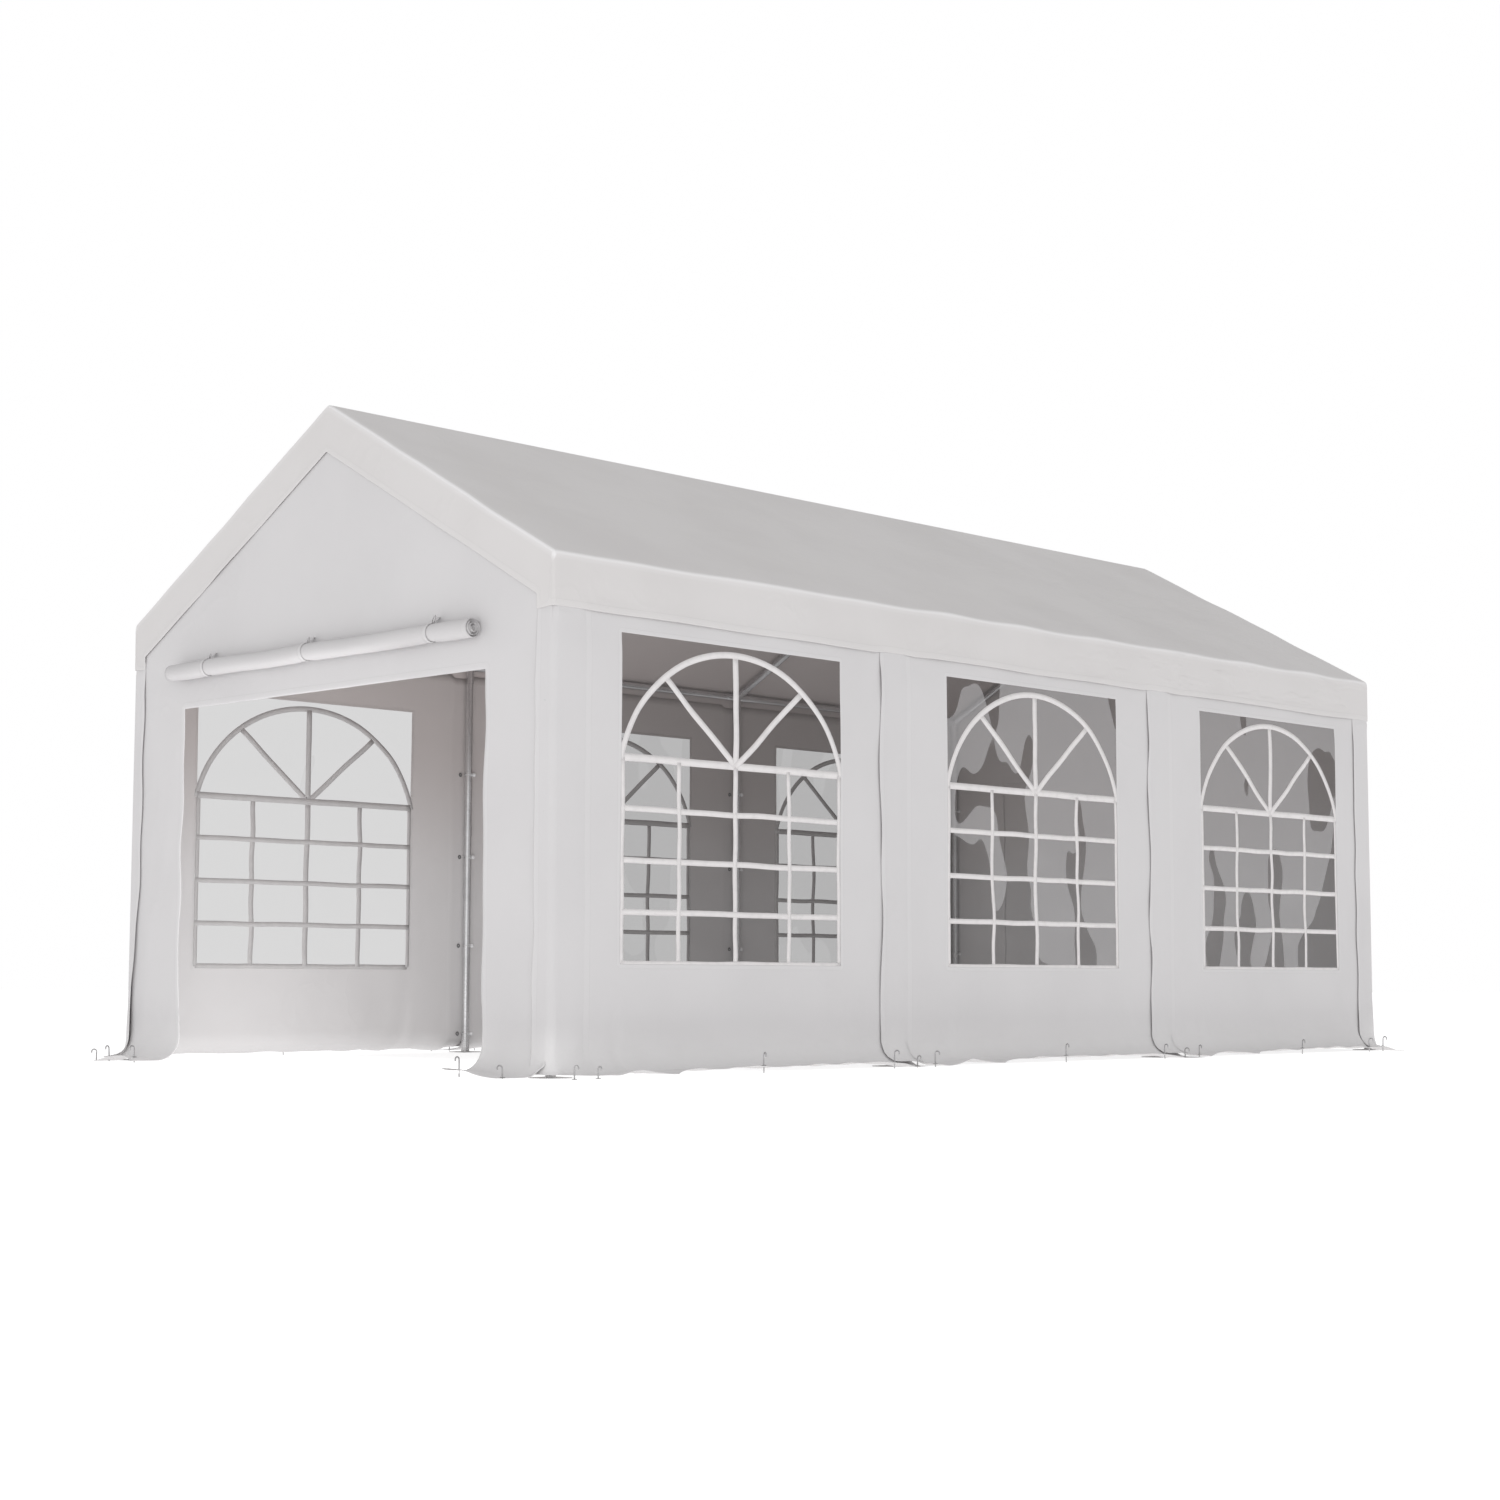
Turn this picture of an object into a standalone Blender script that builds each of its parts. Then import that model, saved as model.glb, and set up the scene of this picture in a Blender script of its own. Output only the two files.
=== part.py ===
"""A marquee tent, 3 m wide and 6 m long: a steel tube frame under white tarpaulin.

X runs across the tent, Y along it, and Z is up. The origin is on the ground in the middle.
The open doorway is in the gable that faces -Y. Every size is in metres.
"""
import math

import bmesh
import bpy
from mathutils import Vector

# Driving dimensions of the cover
WIDTH = 3.00
LENGTH = 6.00
BAYS = 3
EAVE_Z = 2.03
RIDGE_Z = 2.85
VALANCE_Z = 1.815
BAND_DROP = 0.207
BAND_CORNER_X = 1.40
BAND_CORNER_Z = 1.875

# Sheets: one thickness, laid over each other in layers counted from the outside
SHEET = 0.003
GAP = 0.0003
LAYER = SHEET + GAP
WALL_TOP_Z = 1.97
GABLE_CLEARANCE = 0.012

# Flaps that cover the poles, and the skirt that lies on the ground
FLAP_BEFORE_POLE = 0.10
FLAP_AFTER_POLE = 0.08
CORNER_FLAP_GABLE = 0.10
CORNER_FLAP_SIDE = 0.17
JOG = 0.02
WALL_END_BEFORE_POLE = 0.03
CORNER_INSET = 0.04
CORNER_PLAIN = 0.012
SKIRT_TOP_Z = 0.30
BEND_Z = 0.15
SKIRT_WIDTH = 0.21
FLAP_REACH = 0.95
FLAP_EDGE_REACH = 0.45
CORNER_REACH = 0.32
TURN_REACH = 0.8
FLAP_ROUND = 0.12
FLAP_SLACK = 0.003
SKIRT_REST_Z = SHEET + 0.0005

# Windows and doorway
WINDOW_WIDTH = 1.26
WINDOW_LOW_Z = 0.45
WINDOW_HIGH_Z = 1.75
PANE_LAP = 0.02
DOOR_LEFT = -1.06
DOOR_RIGHT = 1.09
DOOR_TOP_Z = 1.605
DOOR_LAP = 0.03

# Rolled-up door and its ties
ROLL_RADIUS = 0.0425
ROLL_Z = 1.7725
ROLL_LEFT = -1.12
ROLL_RIGHT = 1.06
ROLL_SIDES = 24
TIE_XS = (-0.82, -0.07, 0.79)
TIE_WIDTH = 0.03
TIE_THICKNESS = 0.002
TIE_TAIL = 0.05
TIE_STEPS = ROLL_SIDES // 2

# Frame tubes and their connectors
TUBE_RADIUS = 0.019
SLEEVE_RADIUS = 0.0215
SLEEVE_LENGTH = 0.09
TUBE_SIDES = 12
COLLAR_Z = 1.15
COLLAR_HEIGHT = 0.05
FOOT_SIZE = 0.12
FOOT_THICKNESS = 0.004
FOOT_SOCKET_TOP = 0.10

# Values worked out from the ones above
HALF_WIDTH = WIDTH / 2
HALF_LENGTH = LENGTH / 2
BAY = LENGTH / BAYS
SLOPE = (RIDGE_Z - EAVE_Z) / HALF_WIDTH
SLOPE_ANGLE = math.atan(SLOPE)
FRAME_INSET = 2 * LAYER + SLEEVE_RADIUS
LEG_X = HALF_WIDTH - FRAME_INSET
END_LEG_Y = HALF_LENGTH - FRAME_INSET
POLE_YS = (-END_LEG_Y, -HALF_LENGTH + BAY, HALF_LENGTH - BAY, END_LEG_Y)
RAFTER_DROP = (SHEET + GAP + SLEEVE_RADIUS) / math.cos(SLOPE_ANGLE)
EAVE_NODE_Z = EAVE_Z + (HALF_WIDTH - LEG_X) * SLOPE - RAFTER_DROP
RIDGE_NODE_Z = RIDGE_Z - RAFTER_DROP
FLAP_TOP_Z = VALANCE_Z - GAP

# Skirt of a wall from its straight part down to the ground: distance outwards, height
SKIRT_PROFILE = (
    (0.0, SKIRT_TOP_Z),
    (0.0, BEND_Z),
    (0.012, 0.095),
    (0.040, 0.045),
    (0.080, 0.016),
    (0.125, SKIRT_REST_Z),
    (SKIRT_WIDTH, SKIRT_REST_Z),
)


def clear_scene():
    """Remove every object of the scene that the script starts in."""
    for old in list(bpy.data.objects):
        bpy.data.objects.remove(old, do_unlink=True)


def new_collection(name):
    """A collection linked to the scene."""
    collection = bpy.data.collections.new(name)
    bpy.context.scene.collection.children.link(collection)
    return collection


def new_material(name, color, roughness, metallic=0.0, alpha=1.0):
    """A plain Principled material."""
    material = bpy.data.materials.new(name)
    material.use_nodes = True
    shader = material.node_tree.nodes["Principled BSDF"]
    shader.inputs["Base Color"].default_value = (*color, 1.0)
    shader.inputs["Roughness"].default_value = roughness
    shader.inputs["Metallic"].default_value = metallic
    shader.inputs["Alpha"].default_value = alpha
    return material


clear_scene()
PARTS = new_collection("marquee_tent")
CUTTERS = new_collection("marquee_tent_cutters")
TENT = bpy.data.objects.new("marquee_tent", None)
PARTS.objects.link(TENT)

TARPAULIN = new_material("tarpaulin", (0.64, 0.63, 0.63), 0.55)
VINYL = new_material("clear_vinyl", (0.62, 0.63, 0.64), 0.12, alpha=0.4)
STEEL = new_material("galvanised_steel", (0.62, 0.63, 0.64), 0.35, 1.0)
WEBBING = new_material("webbing", (0.60, 0.59, 0.59), 0.7)


def move_to(part, collection):
    """Put an object in one collection and take it out of the others."""
    for owner in list(part.users_collection):
        owner.objects.unlink(part)
    collection.objects.link(part)


def keep(part, name, material):
    """Name a part, give it its material and put it in its collection."""
    move_to(part, PARTS)
    part.name = name
    part.data.name = name
    part.data.materials.clear()
    part.data.materials.append(material)
    part.parent = TENT
    return part


def mesh_part(name, bm, material):
    """Turn a bmesh into a named part."""
    mesh = bpy.data.meshes.new(name)
    bm.to_mesh(mesh)
    bm.free()
    return keep(bpy.data.objects.new(name, mesh), name, material)


def rod(name, start, end, radius, material):
    """A round bar between two points."""
    start = Vector(start)
    end = Vector(end)
    bpy.ops.mesh.primitive_cylinder_add(
        vertices=TUBE_SIDES, radius=radius, depth=(end - start).length, location=(start + end) / 2)
    part = bpy.context.active_object
    part.rotation_euler = (end - start).to_track_quat("Z", "Y").to_euler()
    part.data.shade_smooth()
    part.data.set_sharp_from_angle(angle=math.radians(40))
    return keep(part, name, material)


def block(name, low, high, material):
    """A box between its lowest and highest corners."""
    low = Vector(low)
    high = Vector(high)
    bpy.ops.mesh.primitive_cube_add(size=1.0, location=(low + high) / 2)
    part = bpy.context.active_object
    part.scale = high - low
    bpy.ops.object.transform_apply(location=False, rotation=False, scale=True)
    return keep(part, name, material)


def fuse(part, others):
    """Fuse other solids into a part, one after the other."""
    for other in others:
        modifier = part.modifiers.new("fuse", "BOOLEAN")
        modifier.operation = "UNION"
        modifier.solver = "EXACT"
        modifier.object = other
        bpy.context.view_layer.objects.active = part
        bpy.ops.object.modifier_apply(modifier=modifier.name)
        bpy.data.objects.remove(other, do_unlink=True)
    return part


def cut(part, cutter):
    """Cut a solid away from a part, and keep the cutter as a wire guide."""
    move_to(cutter, CUTTERS)
    cutter.hide_render = True
    cutter.display_type = "WIRE"
    modifier = part.modifiers.new("cut", "BOOLEAN")
    modifier.operation = "DIFFERENCE"
    modifier.solver = "EXACT"
    modifier.object = cutter


def prism(name, outline, half_length, material):
    """A flat outline in X and Z, drawn as a filled curve and made half_length deep each way."""
    curve = bpy.data.curves.new(name, "CURVE")
    curve.dimensions = "2D"
    curve.fill_mode = "BOTH"
    curve.extrude = half_length
    spline = curve.splines.new("POLY")
    spline.points.add(len(outline) - 1)
    for point, (x, z) in zip(spline.points, outline):
        point.co = (x, z, 0.0, 1.0)
    spline.use_cyclic_u = True
    drawn = bpy.data.objects.new(name, curve)
    drawn.rotation_euler = (math.pi / 2, 0.0, 0.0)
    PARTS.objects.link(drawn)
    bpy.context.view_layer.update()
    evaluated = drawn.evaluated_get(bpy.context.evaluated_depsgraph_get())
    mesh = bpy.data.meshes.new_from_object(evaluated)
    bm = bmesh.new()
    bm.from_mesh(mesh)
    bmesh.ops.remove_doubles(bm, verts=bm.verts, dist=0.00001)
    bmesh.ops.recalc_face_normals(bm, faces=bm.faces)
    bm.to_mesh(mesh)
    bm.free()
    solid = bpy.data.objects.new(name, mesh)
    solid.matrix_world = drawn.matrix_world
    bpy.data.objects.remove(drawn, do_unlink=True)
    return keep(solid, name, material)


def roof_z(x, drop=0.0):
    """Height of the roof's outer face at x, less a drop."""
    return RIDGE_Z - abs(x) * SLOPE - drop


def house_outline(half_width, drop, low_z):
    """The tent's cross-section from low_z up to the roof, taken in by a drop below the slope."""
    return (
        (-half_width, low_z),
        (half_width, low_z),
        (half_width, roof_z(half_width, drop)),
        (0.0, roof_z(0.0, drop)),
        (-half_width, roof_z(half_width, drop)),
    )


def make_roof_cover():
    """Two slopes, a valance along each eave and a band along each gable, all one sheet."""
    margin = 0.5
    skin_drop = SHEET / math.cos(SLOPE_ANGLE)
    cover = prism("roof_cover", house_outline(HALF_WIDTH, 0.0, VALANCE_Z), HALF_LENGTH, TARPAULIN)
    inside = prism(
        "roof_inside",
        house_outline(HALF_WIDTH - SHEET, skin_drop, VALANCE_Z - margin),
        HALF_LENGTH - SHEET, TARPAULIN)
    gable_opening = (
        (-BAND_CORNER_X, VALANCE_Z - margin),
        (BAND_CORNER_X, VALANCE_Z - margin),
        (BAND_CORNER_X, BAND_CORNER_Z),
        (0.0, RIDGE_Z - BAND_DROP),
        (-BAND_CORNER_X, BAND_CORNER_Z),
    )
    openings = prism("gable_openings", gable_opening, HALF_LENGTH + margin, TARPAULIN)
    cut(cover, inside)
    cut(cover, openings)


def offset_profile(profile, distance, slack=0.0):
    """A profile moved sideways, with its corners mitred, and with slack below its bend."""
    normals = []
    for (d0, z0), (d1, z1) in zip(profile, profile[1:]):
        length = math.hypot(d1 - d0, z1 - z0)
        normals.append(Vector(((z0 - z1) / length, (d1 - d0) / length)))
    moved = []
    for index, point in enumerate(profile):
        before = normals[max(index - 1, 0)]
        after = normals[min(index, len(normals) - 1)]
        mitre = (before + after).normalized()
        loose = distance if index < 2 else distance + slack
        moved.append(Vector(point) + mitre * (loose / mitre.dot(after)))
    return moved


LAYER_PROFILES = (
    offset_profile(SKIRT_PROFILE, LAYER, FLAP_SLACK),
    offset_profile(SKIRT_PROFILE, 0.0),
)
SEGMENT_LENGTHS = tuple(
    math.dist(a, b) for a, b in zip(SKIRT_PROFILE, SKIRT_PROFILE[1:]))
SKIRT_LENGTH = sum(SEGMENT_LENGTHS)
SKIRT_SHARES = tuple(
    sum(SEGMENT_LENGTHS[:count]) / SKIRT_LENGTH for count in range(len(SKIRT_PROFILE)))
BEND_SHARE = SKIRT_SHARES[1]


def skirt_point(layer, share):
    """Distance outwards and height at a share of the skirt's length, in a layer."""
    profile = LAYER_PROFILES[layer]
    index = 0
    while index < len(SEGMENT_LENGTHS) - 1 and share > SKIRT_SHARES[index + 1]:
        index += 1
    low = SKIRT_SHARES[index]
    part = (share - low) / (SKIRT_SHARES[index + 1] - low)
    return profile[index].lerp(profile[index + 1], min(part, 1.0))


class Column:
    """One vertical line of a wall sheet: where it stands, its layer, its top and its skirt."""

    def __init__(self, x, y, out, layer, top, reach=1.0):
        self.x = x
        self.y = y
        self.out = out
        self.layer = layer
        self.top = top
        self.reach = reach

    def reached(self, share):
        """A share of the whole skirt taken back to where this column's skirt ends."""
        if self.reach < BEND_SHARE:
            return share * self.reach
        below_bend = max(share - BEND_SHARE, 0.0) / (1.0 - BEND_SHARE)
        return min(share, BEND_SHARE) + below_bend * (self.reach - BEND_SHARE)

    def point(self, level, share):
        """The sheet's outer face at a height, or at a share of the skirt where level is None."""
        if level is None:
            distance, z = skirt_point(self.layer, self.reached(share))
        else:
            distance = (1 - self.layer) * LAYER
            z = min(level, self.top)
        x = self.x + self.out[0] * (distance - LAYER)
        y = self.y + self.out[1] * (distance - LAYER)
        return Vector((x, y, z))


def rounded_reach(from_edge):
    """How far a flap's skirt reaches at a distance from its free edge, for a rounded corner."""
    part = 1.0 - min(from_edge / FLAP_ROUND, 1.0)
    missing = 1.0 - math.sqrt(1.0 - part * part)
    return FLAP_REACH - missing * (FLAP_REACH - FLAP_EDGE_REACH)


def make_sheet(name, columns, levels, hole, turned):
    """A wall sheet on a grid of columns and rows, with the cells of its hole left out."""
    rows = [(level, 0.0) for level in levels] + [(None, share) for share in SKIRT_SHARES]
    bm = bmesh.new()
    bmesh.ops.create_grid(bm, x_segments=len(columns) - 1, y_segments=len(rows) - 1, size=1.0)
    bm.verts.ensure_lookup_table()
    cell_of = {}
    for vert in bm.verts:
        i = round((vert.co.x + 1.0) / 2.0 * (len(columns) - 1))
        j = round((1.0 - vert.co.y) / 2.0 * (len(rows) - 1))
        cell_of[vert] = (i, j)
    unwanted = []
    for face in bm.faces:
        i = min(cell_of[vert][0] for vert in face.verts)
        j = min(cell_of[vert][1] for vert in face.verts)
        if hole and hole[0] <= i < hole[1] and hole[2] <= j < hole[3]:
            unwanted.append(face)
    for vert, (i, j) in cell_of.items():
        vert.co = columns[i].point(*rows[j])
    bmesh.ops.delete(bm, geom=unwanted, context="FACES")
    sheet = mesh_part(name, bm, TARPAULIN)
    thicken = sheet.modifiers.new("thickness", "SOLIDIFY")
    thicken.thickness = SHEET
    thicken.offset = -1.0
    thicken.use_even_offset = True
    if turned:
        sheet.rotation_euler = (0.0, 0.0, math.pi)


def flap_columns(pole_y):
    """The columns of the flap over a pole between two bays, up to the wall behind it."""
    out = (1.0, 0.0)
    free = pole_y - FLAP_BEFORE_POLE
    seam = pole_y + FLAP_AFTER_POLE
    columns = []
    for share in (0.0, 0.12, 0.4, 1.0):
        y = free + share * FLAP_ROUND
        columns.append(Column(HALF_WIDTH, y, out, 0, FLAP_TOP_Z, rounded_reach(share * FLAP_ROUND)))
    columns.append(Column(HALF_WIDTH, seam - JOG, out, 0, FLAP_TOP_Z, FLAP_REACH))
    columns.append(Column(HALF_WIDTH, seam, out, 1, FLAP_TOP_Z))
    columns.append(Column(HALF_WIDTH, seam + JOG, out, 1, WALL_TOP_Z))
    return columns


def corner_flap_columns():
    """The columns of the flap that wraps the corner pole, from the gable round to the side."""
    front = (0.0, -1.0)
    side = (1.0, 0.0)
    seam = -HALF_LENGTH + CORNER_FLAP_SIDE
    free_x = HALF_WIDTH - CORNER_FLAP_GABLE
    return [
        Column(free_x, -HALF_LENGTH, front, 0, FLAP_TOP_Z, CORNER_REACH),
        Column(HALF_WIDTH, -HALF_LENGTH, side, 0, FLAP_TOP_Z, CORNER_REACH),
        Column(HALF_WIDTH, -HALF_LENGTH + CORNER_PLAIN, side, 0, FLAP_TOP_Z, CORNER_REACH),
        Column(HALF_WIDTH, -HALF_LENGTH + CORNER_INSET, side, 0, FLAP_TOP_Z, TURN_REACH),
        Column(HALF_WIDTH, seam - JOG, side, 0, FLAP_TOP_Z, FLAP_REACH),
        Column(HALF_WIDTH, seam, side, 1, FLAP_TOP_Z),
        Column(HALF_WIDTH, seam + JOG, side, 1, WALL_TOP_Z),
    ]


def make_side_wall(name, bay, turned):
    """A side wall of one bay, with its window hole, its flap and its skirt."""
    out = (1.0, 0.0)
    middle = -HALF_LENGTH + (bay + 0.5) * BAY
    columns = corner_flap_columns() if bay == 0 else flap_columns(middle - BAY / 2)
    first = len(columns)
    if bay == BAYS - 1:
        end = HALF_LENGTH - CORNER_INSET
    else:
        end = middle + BAY / 2 - WALL_END_BEFORE_POLE
    for y in (middle - WINDOW_WIDTH / 2, middle + WINDOW_WIDTH / 2, end):
        columns.append(Column(HALF_WIDTH, y, out, 1, WALL_TOP_Z))
    levels = (WALL_TOP_Z, WINDOW_HIGH_Z, WINDOW_LOW_Z)
    make_sheet(name, columns, levels, (first, first + 1, 1, 2), turned)


def make_pane(name, bay, turned):
    """The clear sheet behind a side wall's window hole."""
    sign = -1.0 if turned else 1.0
    middle = sign * (-HALF_LENGTH + (bay + 0.5) * BAY)
    outer = HALF_WIDTH - 2 * LAYER
    half = WINDOW_WIDTH / 2 + PANE_LAP
    xs = sorted((sign * outer, sign * (outer - SHEET)))
    block(
        name,
        (xs[0], middle - half, WINDOW_LOW_Z - PANE_LAP),
        (xs[1], middle + half, WINDOW_HIGH_Z + PANE_LAP),
        VINYL)


def make_gable_wall(name, turned):
    """A gable wall up to the roof, with its doorway, its corner flap and its skirt."""
    side = (-1.0, 0.0)
    front = (0.0, -1.0)
    seam = -HALF_WIDTH + CORNER_FLAP_GABLE
    y = -HALF_LENGTH
    columns = [
        Column(-HALF_WIDTH, y + CORNER_FLAP_SIDE, side, 0, FLAP_TOP_Z, CORNER_REACH),
        Column(-HALF_WIDTH, y, front, 0, FLAP_TOP_Z, CORNER_REACH),
        Column(-HALF_WIDTH + CORNER_PLAIN, y, front, 0, FLAP_TOP_Z, CORNER_REACH),
        Column(-HALF_WIDTH + CORNER_INSET, y, front, 0, FLAP_TOP_Z, TURN_REACH),
        Column(seam - JOG, y, front, 0, FLAP_TOP_Z, FLAP_REACH),
        Column(seam, y, front, 1, FLAP_TOP_Z),
    ]
    right = HALF_WIDTH - CORNER_INSET / 4
    full = (
        (seam + JOG, 1.0),
        (DOOR_LEFT, 1.0),
        (0.0, 1.0),
        (DOOR_RIGHT, 1.0),
        (HALF_WIDTH - CORNER_FLAP_GABLE, 1.0),
        (right, FLAP_EDGE_REACH),
    )
    for x, reach in full:
        columns.append(Column(x, y, front, 1, roof_z(x, GABLE_CLEARANCE), reach))
    first = 7
    last_row = 2 + len(SKIRT_PROFILE)
    doorway = (first, first + 2, 1, last_row)
    make_sheet(name, columns, (RIDGE_Z, DOOR_TOP_Z), doorway, turned)


def make_closed_door():
    """The closed door of the back gable, laid over the doorway's edges."""
    front = (0.0, -1.0)
    columns = []
    for x in (DOOR_LEFT - DOOR_LAP, DOOR_RIGHT + DOOR_LAP):
        columns.append(Column(x, -HALF_LENGTH, front, 0, DOOR_TOP_Z + DOOR_LAP))
    make_sheet("back_door", columns, (DOOR_TOP_Z + DOOR_LAP,), None, True)


def make_door_roll():
    """The front door, rolled up above the doorway."""
    y = -HALF_LENGTH + LAYER - GAP - ROLL_RADIUS
    bpy.ops.mesh.primitive_cylinder_add(
        vertices=ROLL_SIDES, radius=ROLL_RADIUS, depth=ROLL_RIGHT - ROLL_LEFT,
        location=((ROLL_LEFT + ROLL_RIGHT) / 2, y, ROLL_Z), rotation=(0.0, math.pi / 2, 0.0))
    roll = bpy.context.active_object
    roll.data.shade_smooth()
    roll.data.set_sharp_from_angle(angle=math.radians(40))
    keep(roll, "door_roll", TARPAULIN)


def make_tie(name, x):
    """A strap that holds the roll: flat on the wall, over the roll and back to the wall."""
    wall_y = -HALF_LENGTH + LAYER - GAP
    radius = ROLL_RADIUS + GAP
    centre_y = wall_y - ROLL_RADIUS
    path = [(wall_y, ROLL_Z + radius + TIE_TAIL), (wall_y, ROLL_Z + radius)]
    for step in range(TIE_STEPS + 1):
        angle = math.pi / 2 + math.pi * step / TIE_STEPS
        path.append((centre_y + radius * math.cos(angle), ROLL_Z + radius * math.sin(angle)))
    path.append((wall_y, ROLL_Z - radius))
    path.append((wall_y, ROLL_Z - radius - TIE_TAIL / 2))
    bm = bmesh.new()
    start = [bm.verts.new((x - TIE_WIDTH / 2, y, z)) for y, z in path]
    edges = [bm.edges.new(pair) for pair in zip(start, start[1:])]
    grown = bmesh.ops.extrude_edge_only(bm, edges=edges)["geom"]
    moved = [item for item in grown if isinstance(item, bmesh.types.BMVert)]
    bmesh.ops.translate(bm, verts=moved, vec=(TIE_WIDTH, 0.0, 0.0))
    bm.normal_update()
    facing = sum(face.normal.y * face.calc_area() for face in bm.faces)
    if facing > 0.0:
        bmesh.ops.reverse_faces(bm, faces=bm.faces)
    tie = mesh_part(name, bm, WEBBING)
    thicken = tie.modifiers.new("thickness", "SOLIDIFY")
    thicken.thickness = TIE_THICKNESS
    thicken.offset = 1.0
    thicken.use_even_offset = True


def make_leg(name, x, y):
    """A leg: foot plate, socket, tube and the collar where its two halves meet."""
    top = EAVE_NODE_Z - SLEEVE_LENGTH - GAP
    low_collar = COLLAR_Z - COLLAR_HEIGHT / 2
    high_collar = COLLAR_Z + COLLAR_HEIGHT / 2
    bottom = FOOT_THICKNESS / 2
    profile = (
        (0.0, top), (TUBE_RADIUS, top),
        (TUBE_RADIUS, high_collar), (SLEEVE_RADIUS, high_collar),
        (SLEEVE_RADIUS, low_collar), (TUBE_RADIUS, low_collar),
        (TUBE_RADIUS, FOOT_SOCKET_TOP), (SLEEVE_RADIUS, FOOT_SOCKET_TOP),
        (SLEEVE_RADIUS, bottom), (0.0, bottom),
    )
    bm = bmesh.new()
    line = [bm.verts.new((radius, 0.0, z)) for radius, z in profile]
    for pair in zip(line, line[1:]):
        bm.edges.new(pair)
    leg = mesh_part(name, bm, STEEL)
    leg.location = (x, y, 0.0)
    turn = leg.modifiers.new("turned", "SCREW")
    turn.steps = TUBE_SIDES
    turn.render_steps = TUBE_SIDES
    turn.use_merge_vertices = True
    turn.merge_threshold = 0.0001
    half = FOOT_SIZE / 2
    plate = block(name + "_plate", (x - half, y - half, 0.0), (x + half, y + half, FOOT_THICKNESS), STEEL)
    bpy.context.view_layer.objects.active = leg
    bpy.ops.object.modifier_apply(modifier=turn.name)
    fuse(leg, (plate,))


def make_rail(name, x, z, branches):
    """A rail along the tent with a connector at each arch: a sleeve and its branches."""
    rail = rod(name, (x, -END_LEG_Y, z), (x, END_LEG_Y, z), TUBE_RADIUS, STEEL)
    extras = []
    for pole_y in POLE_YS:
        low = max(pole_y - SLEEVE_LENGTH, -END_LEG_Y - SLEEVE_RADIUS)
        high = min(pole_y + SLEEVE_LENGTH, END_LEG_Y + SLEEVE_RADIUS)
        extras.append(rod("sleeve", (x, low, z), (x, high, z), SLEEVE_RADIUS, STEEL))
        for direction in branches:
            tip = Vector((x, pole_y, z)) + Vector(direction).normalized() * SLEEVE_LENGTH
            extras.append(rod("branch", (x, pole_y, z), tip, SLEEVE_RADIUS, STEEL))
    fuse(rail, extras)


def make_rafter(name, side, y):
    """A rafter between the eave connector and the ridge connector."""
    low = Vector((side * LEG_X, y, EAVE_NODE_Z))
    high = Vector((0.0, y, RIDGE_NODE_Z))
    along = (high - low).normalized()
    reach = SLEEVE_LENGTH + GAP
    rod(name, low + along * reach, high - along * reach, TUBE_RADIUS, STEEL)


def build():
    """Make every part of the tent."""
    make_roof_cover()
    make_gable_wall("front_wall", False)
    make_gable_wall("back_wall", True)
    make_closed_door()
    make_door_roll()
    for number, x in enumerate(TIE_XS, start=1):
        make_tie(f"door_tie_{number}", x)
    for bay in range(BAYS):
        front_number = bay + 1
        back_number = BAYS - bay
        make_side_wall(f"right_wall_{front_number}", bay, False)
        make_pane(f"right_window_{front_number}", bay, False)
        make_side_wall(f"left_wall_{back_number}", bay, True)
        make_pane(f"left_window_{back_number}", bay, True)
    for side, word in ((1.0, "right"), (-1.0, "left")):
        up_slope = (-side, 0.0, SLOPE)
        make_rail(f"{word}_eave_rail", side * LEG_X, EAVE_NODE_Z, ((0.0, 0.0, -1.0), up_slope))
        for number, pole_y in enumerate(POLE_YS, start=1):
            make_leg(f"{word}_leg_{number}", side * LEG_X, pole_y)
            make_rafter(f"{word}_rafter_{number}", side, pole_y)
    make_rail("ridge_rail", 0.0, RIDGE_NODE_Z, ((1.0, 0.0, -SLOPE), (-1.0, 0.0, -SLOPE)))


build()
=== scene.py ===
# %% [markdown]
# # Dressing a marquee tent
#
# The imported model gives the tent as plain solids, and every one of them stays where it is. This
# script loads it, keeps its steel tubes, and makes new cloth, clear sheets, cords and pegs round
# them. Each step first says what the piece is on a real tent, then how it could be made, and why
# this way was taken. All lengths are metres: X runs across the tent, Y along it, Z is up, and
# the open doorway faces -Y.

# %% Load the frame
import math

import bpy
import numpy as np
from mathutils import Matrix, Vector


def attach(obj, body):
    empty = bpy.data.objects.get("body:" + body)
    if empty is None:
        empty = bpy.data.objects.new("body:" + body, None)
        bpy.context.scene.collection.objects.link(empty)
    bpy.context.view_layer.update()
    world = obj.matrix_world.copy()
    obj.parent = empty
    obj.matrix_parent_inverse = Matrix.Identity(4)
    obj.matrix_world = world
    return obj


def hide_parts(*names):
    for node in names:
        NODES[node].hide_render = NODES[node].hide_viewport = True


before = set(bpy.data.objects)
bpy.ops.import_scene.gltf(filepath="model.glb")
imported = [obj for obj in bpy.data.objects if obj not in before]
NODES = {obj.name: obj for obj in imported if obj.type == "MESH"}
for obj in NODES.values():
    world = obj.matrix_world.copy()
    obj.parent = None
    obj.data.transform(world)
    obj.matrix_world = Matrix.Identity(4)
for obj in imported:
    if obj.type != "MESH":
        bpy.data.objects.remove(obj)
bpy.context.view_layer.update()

# %% [markdown]
# ## The tent's own sizes
#
# These are the sizes that the solids were made from, because new cloth has to meet the solids to
# the millimetre. Only the windows differ: a closer look at the photo made them 12 mm wider at
# each side and 13 mm deeper at the foot. Everything else is worked out from these values.

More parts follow.
